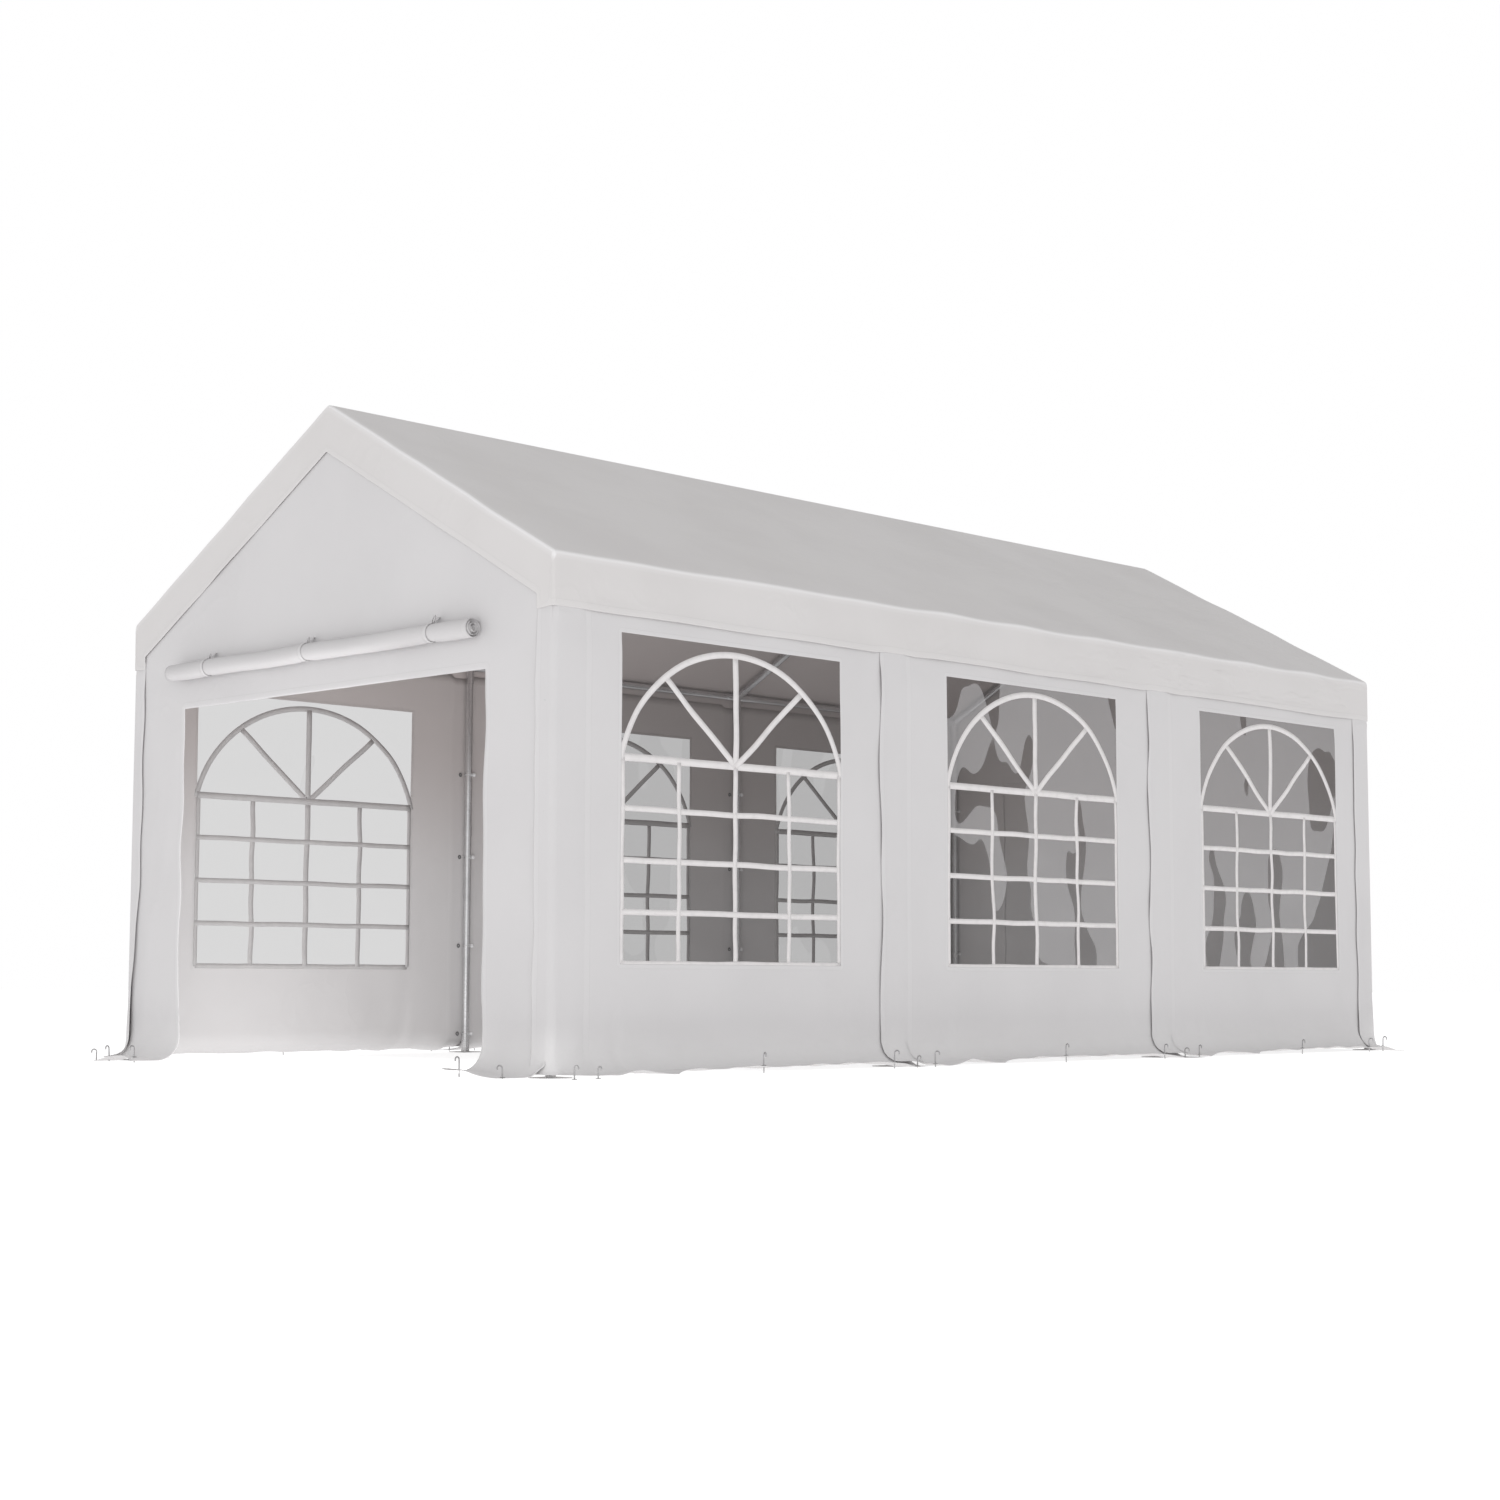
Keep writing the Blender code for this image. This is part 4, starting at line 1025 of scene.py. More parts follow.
def make_gable_wall(side, name):
    """The panel of one gable with its doorway, as wall_sheet makes it."""
    door = DOOR_W
    first = CORNER_ROUND + 0.004
    w = np.concatenate([spaced([first, CORNER_GABLE, door[0] - HEM, door[0] - 0.012], 0.024),
                        spaced([door[0], HALF_WIDTH, door[1]], 0.028),
                        spaced([door[1] + 0.012, door[1] + HEM, GABLE_END - 0.09, GABLE_END - 0.03,
                                GABLE_END], 0.024)])
    low_part = spaced([UPPER_Z, 1.66, DOOR_TOP_Z + HEM, DOOR_TOP_Z + 0.01], 0.02)
    levels = np.concatenate([low_part, spaced([DOOR_TOP_Z, SKIRT_TOP_Z], 0.028)])
    upper = np.linspace(1.0, 0.0, 40)[:-1]

    def top(at):
        return roof_height(np.clip(at, 0.0, 3.0) - HALF_WIDTH) - 0.012

    def reach(at):
        end = smoothstep(GABLE_END, GABLE_END - 0.10, at)
        start = smoothstep(first, first + 0.08, at)
        return (0.56 + 0.44 * np.sqrt(1.0 - (1.0 - end) ** 2)) * (0.7 + 0.3 * start)

    def slide(at, z):
        left = 0.006 * waves(z, 0.0, 301 + SEEDS[side], 0.9, 0.3, spread=0.1)
        left = left + 0.010 * smoothstep(0.45, 0.1, z)
        right = 0.006 * waves(z, 0.0, 307 + SEEDS[side], 0.9, 0.3, spread=0.1)
        below = smoothstep(DOOR_TOP_Z + 0.02, DOOR_TOP_Z - 0.25, z)
        near_left = smoothstep(door[0] - 0.20, door[0], at) * (at <= door[0])
        near_right = smoothstep(door[1] + 0.20, door[1], at) * (at >= door[1])
        return (left * near_left + right * near_right) * below

    def extra(at, z):
        x = at - HALF_WIDTH
        band_low = BAND_APEX_Z - np.abs(x) * BAND_SLOPE
        under_band = smoothstep(band_low - 0.015, band_low - 0.13, z)
        gathers = lift(waves(at, 0.25 * z, 331 + SEEDS[side], 0.30, 0.07, spread=0.30, count=12))
        upper_part = 0.0030 * gathers * under_band * smoothstep(1.60, 1.95, z)
        upper_part = upper_part * smoothstep(0.12, 0.35, at) * smoothstep(2.85, 2.6, at)
        swell = wall_swell(side, at, np.minimum(z, 1.9))
        settle = -swell * (1.0 - under_band) * (z > DOOR_TOP_Z)
        flat = -swell * smoothstep(CORNER_GABLE + 0.06, CORNER_GABLE, at)
        pillar = 0.0035 * lift(waves(at, z, 337, 0.35, 0.12, spread=0.6)) * smoothstep(1.5, 0.9, z)
        fan = [(2.72, 0.12, 2.68, 0.30, 0.004), (0.30, 0.12, 0.25, 0.28, 0.004),
               (0.14, 0.13, 0.16, 0.30, 0.003)]
        pillar = pillar * smoothstep(2.95, 2.8,
                                     at) * smoothstep(CORNER_GABLE, CORNER_GABLE + 0.08, at)
        return upper_part + settle * (flat == 0.0) + flat + pillar + creases(at, z, fan, 0.014)

    def hem_of(at, z, run):
        across = np.maximum(np.maximum(door[0] - at, at - door[1]), 0.0)
        above = np.maximum(z - DOOR_TOP_Z, 0.0)
        return edge_distance(np.hypot(across, above), SKIRT_RUN * reach(at) - run)

    def hole(at, z):
        return (at > door[0]) & (at < door[1]) & (z < DOOR_TOP_Z)

    return wall_sheet(name, side, w, upper, levels, top, lambda at, z: nowhere(at, z) - LAYER,
                      reach, slide, extra, hem_of, hole)


def make_corner_flap(side, node):
    """The strip that wraps the corner at the start of a gable, over the panel and the side wall."""
    w = np.concatenate([[-CORNER_SIDE, -CORNER_SIDE + 0.004, -CORNER_SIDE + 0.02, -0.11, -0.08,
                         -0.05],
                        np.linspace(-CORNER_ROUND, CORNER_ROUND, 11),
                        [0.045, 0.06, 0.075, 0.088, CORNER_GABLE - 0.004, CORNER_GABLE]])
    levels = spaced([UPPER_Z, SKIRT_TOP_Z], 0.024)

    def ends(at):
        return np.minimum(at + CORNER_SIDE, CORNER_GABLE - at)

    def reach(at):
        part = 1.0 - np.clip(ends(at) / 0.05, 0.0, 1.0)
        away = smoothstep(0.01, 0.08, np.abs(at))
        return 0.74 + 0.21 * away - (1.0 - np.sqrt(1.0 - part * part)) * 0.25

    def slide(at, z):
        wander = 0.004 * waves(z, 0.0, 311 + SEEDS[side], 1.0, 0.3, spread=0.1)
        wander = wander * smoothstep(1.8, 1.6, z)
        pull = -0.045 * smoothstep(1.0, 0.1, z) * smoothstep(0.03, CORNER_GABLE, at)
        return wander * smoothstep(0.05, 0.0, ends(at)) + pull

    def extra(at, z):
        tucked = -TUCK * smoothstep(TUCK_LOW_Z, TUCK_HIGH_Z, z)
        free = 0.0035 * smoothstep(0.035, 0.0, ends(at)) * smoothstep(UPPER_Z, 1.70, z)
        loose = 0.010 * smoothstep(0.04, CORNER_GABLE, at) * smoothstep(0.9, 0.2, z)
        settle = -wall_swell(side, at, np.minimum(z, 1.9))
        low = 0.0045 * smoothstep(0.30, 0.12, z)
        fan = [(0.04, 0.13, 0.07, 0.36, 0.005), (-0.04, 0.13, -0.07, 0.34, 0.004),
               (-0.02, 1.80, -0.05, 1.70, 0.003)]
        return tucked + free + loose + settle + low + creases(at, z, fan, 0.014)

    def hem_of(at, z, run):
        return edge_distance(ends(at) + 0.0 * z, SKIRT_RUN * reach(at) - run)

    def flare(at):
        return 1.0 - (1.0 - CORNER_FLARE) * smoothstep(0.13, 0.0, np.abs(at))

    return wall_sheet(f"{side}_corner_flap", side, w, UPPER_ROWS, levels,
                      lambda at: CORNER_TOP_Z + 0.0 * at, nowhere, reach, slide, extra, hem_of,
                      None, flare, node)


for gable in ("front", "back"):
    make_gable_wall(gable, f"{gable}_wall")
    make_corner_flap(gable, f"{gable}_wall")

# %% Closed back door
BACK_DOOR_LAP = 0.03


def make_back_door():
    """The closed door over the back doorway: one layer further out and loosely hung. Its zips
    down both sides are not drawn."""
    door = (DOOR_W[0] - BACK_DOOR_LAP, DOOR_W[1] + BACK_DOOR_LAP)
    head = DOOR_TOP_Z + BACK_DOOR_LAP
    w = spaced([door[0], door[0] + 0.006, door[0] + HEM, door[0] + HEM + 0.006, HALF_WIDTH,
                door[1] - HEM - 0.006, door[1] - HEM,
                door[1] - 0.006, door[1]], 0.026)
    levels = spaced([UPPER_Z - 0.10, head - HEM, SKIRT_TOP_Z], 0.028)

    def extra(at, z):
        edge = smoothstep(0.0, 0.10, np.minimum(at - door[0], door[1] - at))
        billow = 0.012 * lift(waves(at, z, 401, 0.9,
                                    0.3)) + 0.006 * lift(waves(at, z, 403, 0.4, 0.12, spread=0.5))
        return billow * edge * smoothstep(head, head - 0.25, z) + 0.0012

    def hem_of(at, z, run):
        return edge_distance(at - door[0] + 0.0 * z, door[1] - at + 0.0 * z, head - z,
                             SKIRT_RUN - run)

    return wall_sheet("back_door", "back", w, np.array([]), np.minimum(levels, head),
                      lambda at: head + 0.0 * at, nowhere, lambda at: 0.97 + 0.0 * at, nowhere,
                      extra, hem_of)


make_back_door()

# %% [markdown]
# ## Windows
#
# Each window is a clear sheet welded behind its opening, and a pattern of printed bars: a grid of
# four by four below, a transom, and a fan of three spokes under an arch above. The sheet takes
# the swell of its wall, so it never parts from the opening. A bar is a ribbon: a line on the
# window with a width, thick enough to go through the clear sheet and show on both its faces.

# %% Window sheets and bars
PANE_LAP = 0.014
PANE_DEPTH = LAYER + CLOTH + 0.0004
BAR = 0.0235
BORDER_BAR = 0.021
SPOKE_BAR = 0.027
TRANSOM_Z = 1.254
TRANSOM_BAR = 0.031
UPRIGHT = {"right": 1.0, "left": 1.22}
ARCH_HALF = 0.662
ARCH_HIGH = 0.600
ARCH_MIDDLE_Z = 1.115
ROW_ZS = (1.052, 0.847, 0.642)
RAISE = 0.00009


def pane_out(side, w, z):
    """How far out a window's clear sheet stands: behind the wall's swell, with ripples of its own
    that die out at its welded edge."""
    edge = np.minimum(WINDOW_HALF - np.abs(np.mod(w, BAY) - 1.0),
                      np.minimum(z - WINDOW_LOW_Z, WINDOW_HIGH_Z - z))
    loose = smoothstep(0.0, 0.16, edge)
    ripple = 0.0030 * waves(w, z, SEEDS[side] + 60, 0.7, 0.22) * loose
    return wall_swell(side, w, z) - PANE_DEPTH + ripple


def ribbon(centre, across, half, lie):
    """Points of a flat ribbon: a line of centres (n, 2) on the window, widened by half along the
    unit vectors across (n, 2), and laid on the window by lie. Returns points and faces."""
    shares = np.array([-1.0, 0.0, 1.0])[None, :, None]
    flat = centre[:, None, :] + shares * across[:, None, :] * np.asarray(half).reshape(-1, 1, 1)
    points = lie(flat[..., 0], flat[..., 1])
    return points.reshape(-1, 3), [grid_faces(len(centre), 3)[:, ::-1]]


def straight_bar(start, end, half, wander, seed):
    """Centres and across vectors of a straight bar that wanders sideways by a few millimetres."""
    start, end = np.array(start, float), np.array(end, float)
    run = np.linalg.norm(end - start)
    count = max(4, int(run / 0.035))
    share = np.linspace(0.0, 1.0, count)
    along = (end - start) / run
    side_way = np.array([along[1], -along[0]])
    shift = wander * waves(share * run, 0.0, seed, 0.9, 0.25,
                           spread=0.1) * np.sin(np.pi * share) ** 0.5
    centre = start + share[:, None] * (end - start) + shift[:, None] * side_way
    return centre, np.repeat(side_way[None], count, 0), np.full(count, half)


def arch_bar():
    """Centres and across vectors of the arch: the upper part of an ellipse whose middle lies
    under the transom, which runs out behind the sides of the window."""
    start = math.acos((WINDOW_HALF + 0.004) / ARCH_HALF)
    turn = np.linspace(start, math.pi - start, 65)
    centre = np.stack([ARCH_HALF * np.cos(turn), ARCH_MIDDLE_Z + ARCH_HIGH * np.sin(turn)], -1)
    across = np.stack([np.cos(turn) / ARCH_HALF, np.sin(turn) / ARCH_HIGH], -1)
    across = across / np.linalg.norm(across, axis=1, keepdims=True)
    return centre, across, np.full(len(turn), SPOKE_BAR / 2)


def make_window(side, bay, name):
    """A window of the right or left side: its clear sheet, and its bars as one mesh."""
    middle = (bay + 0.5) * BAY
    half = WINDOW_HALF + PANE_LAP
    w = spaced([middle - half, middle - WINDOW_HALF, middle - WINDOW_HALF + 0.003,
                middle + WINDOW_HALF - 0.003,
                middle + WINDOW_HALF, middle + half], 0.024)
    z = spaced([WINDOW_HIGH_Z + PANE_LAP, WINDOW_HIGH_Z, WINDOW_HIGH_Z - 0.003,
                WINDOW_LOW_Z + 0.003, WINDOW_LOW_Z,
                WINDOW_LOW_Z - PANE_LAP], 0.024)
    grid_w, grid_z = np.meshgrid(w, z)
    points = on_side(side, grid_w, pane_out(side, grid_w, grid_z), grid_z)
    faces = grid_faces(len(z), len(w))
    inside = np.minimum(WINDOW_HALF - np.abs(grid_w - middle),
                        np.minimum(grid_z - WINDOW_LOW_Z, WINDOW_HIGH_Z - grid_z))
    pane = make_piece(f"{name}_sheet", points, [faces], [VINYL], np.stack([grid_w, grid_z], -1),
                      inside)
    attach(pane, "root")
    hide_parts(name)
    seed = 500 + 10 * bay + (0 if side == "right" else 5)
    inner = WINDOW_HALF - 0.009
    end = WINDOW_HALF - 0.001
    foot = WINDOW_LOW_Z + 0.001
    bars = [(straight_bar((-end, TRANSOM_Z), (end, TRANSOM_Z), TRANSOM_BAR / 2, 0.0008, seed), 0.0)]
    for i, row in enumerate(ROW_ZS, 1):
        bars.append((straight_bar((-end, row), (end, row), BAR / 2, 0.0014, seed + i), 0.0))
    for i, (at, wide) in enumerate(((-0.321, 0.022), (0.0, 0.025), (0.321, 0.022))):
        half_wide = wide * UPRIGHT[side] / 2
        line = straight_bar((at, foot), (at, TRANSOM_Z - 0.004), half_wide, 0.0034, seed + 20 + i)
        bars.append((line, 2 * RAISE))
    for sign in (-1, 1):
        sideways = sign * inner
        line = straight_bar((sideways, foot), (sideways, TRANSOM_Z), BORDER_BAR / 2, 0.002,
                            seed + 30)
        bars.append((line, RAISE))
    bars.append((straight_bar((-inner, foot), (inner, foot), BAR / 2, 0.001, seed + 33), 3 * RAISE))
    spokes = (((-0.395, 1.585), SPOKE_BAR), ((0.0, 1.71), 0.031), ((0.395, 1.585), SPOKE_BAR))
    for i, (tip, wide) in enumerate(spokes):
        line = straight_bar((0.0, TRANSOM_Z), tip, wide / 2, 0.002, seed + 40 + i)
        bars.append((line, (4 + i) * RAISE))
    bars.append((arch_bar(), 7 * RAISE))
    parts = []
    for (centre, across, halves), raised in bars:
        def lie(at, height, raised=raised):
            return on_side(side, middle + at, pane_out(side, middle + at, height) + 0.0005 + raised,
                           height)
        parts.append(ribbon(centre, across, halves, lie))
    bar_points, bar_faces = join_parts(parts)
    print_piece = make_piece(name + "_bars", bar_points, bar_faces, [BAR_OUTSIDE, BAR_INSIDE_SHADED])
    finish_sheet(print_piece, 0.0016)
    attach(print_piece, "root")
    print(f"{name}: {len(faces)} faces in the sheet, {len(print_piece.data.polygons)} in the bars")


for bay in range(3):
    make_window("right", bay, f"right_window_{bay + 1}")
    make_window("left", bay, f"left_window_{3 - bay}")

# %% [markdown]
# ## Roof cover
#
# The cover is one sheet: two slopes, a valance below each eave, and at both ends a band that is
# folded down over the gable. Across the tent it follows the section of the roof, rounded over the
# eave and ridge tubes. Along the tent each section line runs to the rim, turns over it, and goes
# on down the gable to the band's inner edge. The whole cover is one grid of section and length.

# %% Roof section
SLOPE_RUN = math.hypot(HALF_WIDTH, RIDGE_Z - EAVE_Z)
VALANCE_RUN = EAVE_Z - VALANCE_Z
EAVE_ROUND = 0.027
RIM_ROUND = 0.012
EAVE_TURN = math.pi / 2 - SLOPE_ANGLE
EAVE_HALF = EAVE_ROUND * math.tan(EAVE_TURN / 2)
RIDGE_ROUND = 0.010
EAVE_SEAM = 0.052


def roof_section(c):
    """Place and normal of the section at a signed length c from the ridge: straight slopes with a
    small round at the ridge, an arc over the eave tube, and the upright valance."""
    side, run = np.where(c < 0, -1.0, 1.0), np.abs(c)
    turn = np.clip((run - SLOPE_RUN + EAVE_HALF) / (2 * EAVE_HALF), 0.0, 1.0) * EAVE_TURN
    along = np.minimum(run, SLOPE_RUN - EAVE_HALF)
    start_x = along * math.cos(SLOPE_ANGLE)
    softened = np.sqrt(along ** 2 + RIDGE_ROUND ** 2) - RIDGE_ROUND
    start_z = RIDGE_Z - softened * math.sin(SLOPE_ANGLE)
    x = start_x + EAVE_ROUND * (np.sin(SLOPE_ANGLE + turn) - math.sin(SLOPE_ANGLE))
    z = start_z - EAVE_ROUND * (math.cos(SLOPE_ANGLE) - np.cos(SLOPE_ANGLE + turn))
    z = z - np.maximum(run - SLOPE_RUN - EAVE_HALF, 0.0)
    lean = np.clip(run / 0.02, 0.0, 1.0) * SLOPE_ANGLE + turn
    return side * x, z, side * np.sin(lean), np.cos(lean)


def band_line(c):
    """The band's inner edge that belongs to a length c of the section."""
    side, run = np.where(c < 0, -1.0, 1.0), np.abs(c)
    share = np.clip(run / SLOPE_RUN, 0.0, 1.0)
    down = np.clip((run - SLOPE_RUN) / VALANCE_RUN, 0.0, 1.0)
    x = BAND_CORNER_X * share
    z = BAND_APEX_Z + (BAND_CORNER_Z - BAND_APEX_Z) * share - down * (BAND_CORNER_Z - VALANCE_Z)
    return side * x, z


# %% Roof cover sheet
def make_roof_cover():
    """The whole cover on one grid of section length c and length along the tent v. v runs below 0
    on the front band and above the tent's length on the back one."""
    hem_c = SLOPE_RUN + VALANCE_RUN
    half = spaced([0.0, 0.012, 0.03, 0.06, SLOPE_RUN - 0.06, SLOPE_RUN - EAVE_HALF], 0.031)
    fold = np.linspace(SLOPE_RUN - EAVE_HALF, SLOPE_RUN + EAVE_HALF, 8)
    skirt = spaced([SLOPE_RUN + EAVE_HALF, SLOPE_RUN + 0.048, SLOPE_RUN + 0.056,
                    hem_c - HEM - 0.004, hem_c - HEM, hem_c - 0.006, hem_c], 0.02)
    right = np.concatenate([half[1:-1], fold[:-1], skirt])
    c = np.concatenate([-right[::-1], [0.0], right])
    shares = np.array([1.0, 0.97, 0.86, 0.72, 0.5, 0.28, 0.12, 0.0])
    turns = np.linspace(math.pi / 2, 0.0, 6)
    length = spaced([-HALF_LENGTH + RIM_ROUND, -HALF_LENGTH + 0.04, -1.03, -0.97, 0.97, 1.03,
                     HALF_LENGTH - 0.04, HALF_LENGTH - RIM_ROUND], 0.034)
    band_rows = len(shares) - 1
    front_y = np.concatenate([np.full(band_rows, -HALF_LENGTH),
                              -HALF_LENGTH + RIM_ROUND * (1 - np.sin(turns))])
    front_in = np.concatenate([np.zeros(band_rows), RIM_ROUND * (1 - np.cos(turns))])
    end_shares = np.concatenate([shares[:-1], np.zeros(len(turns))])
    share_all = np.concatenate([end_shares, np.zeros(len(length) - 2), end_shares[::-1]])
    y = np.concatenate([front_y, length[1:-1], -front_y[::-1]])
    inward = np.concatenate([front_in, np.zeros(len(length) - 2), front_in[::-1]])
    x0, z0, nx, nz = roof_section(c)
    xi, zi = band_line(c)
    wide = np.hypot(xi - x0, zi - z0)
    to_x, to_z = (xi - x0) / wide, (zi - z0) / wide
    on_band = share_all > 0
    deep = np.where(on_band[:, None], RIM_ROUND + share_all[:, None] * (wide[None, :] - RIM_ROUND),
                    inward[:, None])
    x = x0[None, :] + deep * to_x[None, :]
    z = z0[None, :] + deep * to_z[None, :]
    yy = y[:, None] + 0.0 * x
    run = np.abs(c)[None, :] + 0.0 * x
    sign = np.where(c < 0, -1.0, 1.0)[None, :]
    top_side = (~on_band)[:, None] & (run < SLOPE_RUN - 0.03)
    rafters = np.minimum.reduce([np.abs(yy - p) for p in POLE_YS])
    between = smoothstep(0.02, 0.55, rafters)
    across = np.sin(np.pi * np.clip(run / SLOPE_RUN, 0.0, 1.0))
    seed = 601
    sag = -0.013 * between * across
    cc = c[None, :] + 0.0 * x
    to_end = HALF_LENGTH - np.abs(yy)
    ripple = 0.0035 * waves(cc, yy, seed, 1.3, 0.35) * across
    pulls = 0.0022 * waves(cc, yy, seed + 1, 0.50, 0.14, spread=0.7)
    pulls = pulls * across * smoothstep(0.0, 0.3, to_end)
    push = np.where(top_side, np.maximum(sag + ripple + pulls, -0.016), 0.0)
    eave = np.exp(-(((run - SLOPE_RUN) / 0.035) ** 2)) * smoothstep(0.0, 0.35, to_end)
    eave_wave = waves(yy, sign * 3.0, seed + 2, 1.6, 0.5, spread=0.1)
    hang = smoothstep(SLOPE_RUN, SLOPE_RUN + 0.08, run)
    inner = smoothstep(0.0, 0.5, to_end)
    valance = 0.0035 * lift(waves(yy, run + sign, seed + 3, 0.8, 0.2, spread=0.8)) * hang * inner
    beside = np.minimum(np.abs(np.abs(yy) - 1.0), np.maximum(HALF_LENGTH - 0.07 - np.abs(yy), 0.0))
    over_panel = smoothstep(0.07, 0.13, beside)
    curl_share = 0.6 + 0.6 * lift(waves(yy, sign, seed + 4, 0.9, 0.3, spread=0.1))
    curl = 0.0042 * smoothstep(hem_c - 0.06, hem_c, run) * curl_share * over_panel
    seam = -0.0012 * np.exp(-(((run - SLOPE_RUN - EAVE_SEAM) / 0.004) ** 2))
    eave_out = 0.0040 * np.maximum(0.6 * eave * eave_wave, -0.3)
    hanging = eave_out + valance * over_panel + curl + seam
    out = push + np.where((~on_band)[:, None], hanging, 0.0)
    px = x + nx[None, :] * out
    pz = z + nz[None, :] * out
    sinking = lift(1.2 * waves(yy, sign, seed + 5, 3.0, 0.9, spread=0.1))
    droop = -0.008 * sinking * smoothstep(SLOPE_RUN + 0.06, hem_c, run) * inner * over_panel
    pz = pz + droop + 0.0022 * eave * eave_wave
    edge_lift = 0.0019 + 0.0010 * waves(run, sign, seed + 7, 0.8, 0.25, spread=0.1)
    lifted = smoothstep(0.72, 1.0, share_all)[:, None] * edge_lift
    soft_waves = waves(run * sign, share_all[:, None] * 0.2, seed + 8, 0.7, 0.25, spread=0.8)
    soft = 0.0024 * lift(soft_waves) * smoothstep(0.0, 0.3, share_all)[:, None]
    py = yy + np.sign(yy) * (lifted + soft) * on_band[:, None]
    points = np.stack([px, py, pz], -1)
    v = y + np.where(on_band, np.sign(y) * share_all * BAND_WIDE, 0.0)
    uv = np.stack(np.broadcast_arrays(c[None, :], v[:, None]), -1)
    to_inner = (1.0 - share_all)[:, None] * wide[None, :]
    rim_away = np.where(on_band[:, None], deep + HEM - 0.032, 1.0)
    # Painted highlight: shares of the light rim colour on the rows of the band's fold and along the
    # eave fold.
    rim_highlight_rows = np.concatenate([np.zeros(band_rows), [0.35, 0.9, 1.0, 1.0, 0.8, 0.3]])
    row_highlight = np.concatenate([rim_highlight_rows, np.zeros(len(length) - 2), rim_highlight_rows[::-1]])
    eave_highlight = 0.95 * np.exp(-(((run - SLOPE_RUN - 0.002) / 0.012) ** 2)) * (~on_band)[:, None]
    rim = np.maximum(row_highlight[:, None] * (run < SLOPE_RUN + 0.02), eave_highlight)
    hem = edge_distance(hem_c - run, np.where(on_band[:, None], to_inner, 1.0), rim_away,
                        np.abs(run - SLOPE_RUN - EAVE_SEAM) + HEM)
    faces = grid_faces(len(y), len(c))[:, ::-1]
    piece = make_piece("roof_cover_cloth", points, [faces], [ROOF_CLOTH, ROOF_INNER_PAINTED_SHADE], uv, hem,
                       rim=rim)
    finish_sheet(piece)
    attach(piece, "root")
    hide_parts("roof_cover")
    return piece


make_roof_cover()

# %% [markdown]
# ## Rolled door
#
# The front door is rolled up outwards and tied over the doorway. Its end shows the cloth wound
# up like a watch spring, so the roll is not a cylinder but one sheet along a spiral. The radius
# shrinks at each strap, the roll droops a little between the straps, and every turn ends at a
# slightly different place, as on anything that is rolled up by hand.

# %% Rolled door sheet
ROLL_RADIUS = 0.0405
ROLL_Y = -HALF_LENGTH + LAYER - 0.0428
ROLL_Z = 1.7725
ROLL_ENDS = (-1.115, 1.055)
ROLL_TURNS = 8
ROLL_CORE = 0.006
ROLL_STEPS = 18
TIE_XS = (-0.82, -0.07, 0.79)


def roll_form(x, angle):
    """Radius and height change of the roll at x and at an angle round it: waists at the straps,
    a droop between them, and flats and bulges that wander along the roll."""
    waist = sum(np.exp(-(((x - t) / 0.035) ** 2)) for t in TIE_XS)
    full = 1.0 + 0.06 * smoothstep(0.80, 0.90,
                                   x) * smoothstep(1.07, 1.0, x) - 0.04 * smoothstep(-0.9, -1.1, x)
    uneven = 0.014 * waves(x, 0.05 * np.sin(angle), 701, 0.8, 0.25, spread=0.4)
    spiral_fold = 0.012 * np.sin(2.0 * angle + 9.0
                                 * x) + 0.008 * np.sin(3.0 * angle - 14.0 * x + 1.0)
    droop = -0.003 * (1.0 - np.clip(waist, 0.0,
                                    1.0)) - 0.001 * waves(x, 0.0, 703, 0.9, 0.4, spread=0.1)
    return ROLL_RADIUS * (full * (1.0 + uneven + spiral_fold) - 0.06 * waist), droop


def roll_point(x, angle, share):
    """Place on the roll: share 1 is its outer face and smaller shares lie inside."""
    radius, droop = roll_form(x, angle)
    y = ROLL_Y - share * radius * np.cos(angle)
    return np.stack(np.broadcast_arrays(x, y, ROLL_Z + droop + share * radius * np.sin(angle)), -1)


def make_door_roll():
    """The rolled door as one sheet: rows along a spiral that starts on the wall over the roll."""
    angle = math.radians(140) - np.linspace(0.0, 2 * math.pi * ROLL_TURNS,
                                            ROLL_TURNS * ROLL_STEPS + 1)
    wound = np.linspace(0.0, 1.0, len(angle))
    share = 1.0 - (1.0 - ROLL_CORE / ROLL_RADIUS) * wound
    along = np.linspace(0.0, 1.0, 88)
    x = ROLL_ENDS[0] + along * (ROLL_ENDS[1] - ROLL_ENDS[0])
    slip = 0.007 * waves(wound * ROLL_TURNS, 0.0, 711, 3.0, 0.8, spread=0.1)
    end_share = smoothstep(0.06, 0.0, along) - smoothstep(0.94, 1.0, along)
    xx = x[None, :] + slip[:, None] * end_share[None, :]
    points = roll_point(xx, angle[:, None], share[:, None])
    rise = smoothstep(0.055, 0.0, wound * ROLL_TURNS / 2.0)[:, None]
    length = np.concatenate([[0.0], np.cumsum(np.abs(np.diff(angle)) * ROLL_RADIUS
                                              * (share[1:] + share[:-1]) / 2)])
    uv = np.stack(np.broadcast_arrays(xx, length[:, None]), -1)
    hem = edge_distance(x[None, :] - ROLL_ENDS[0] + 0.0 * xx, ROLL_ENDS[1] - x[None, :] + 0.0 * xx,
                        length[:, None] + 0.0 * xx)
    points[..., 1] += 0.004 * rise
    faces = grid_faces(len(angle), len(x))
    piece = make_piece("door_roll_cloth", points, [faces], [ROLL_CLOTH_PAINTED_SHADE], uv, hem)
    finish_sheet(piece)
    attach(piece, "root")
    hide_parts("door_roll")


make_door_roll()

# %% [markdown]
# ## Straps round the roll
#
# Three webbing straps are sewn to the wall over the roll, go round it and end in a loop. A
# strap is a ribbon again: its line is a ring a hair outside the roll, and the loop and the sewn
# end are short lines of their own. Webbing has ribs across it, which are a wave in the bump.

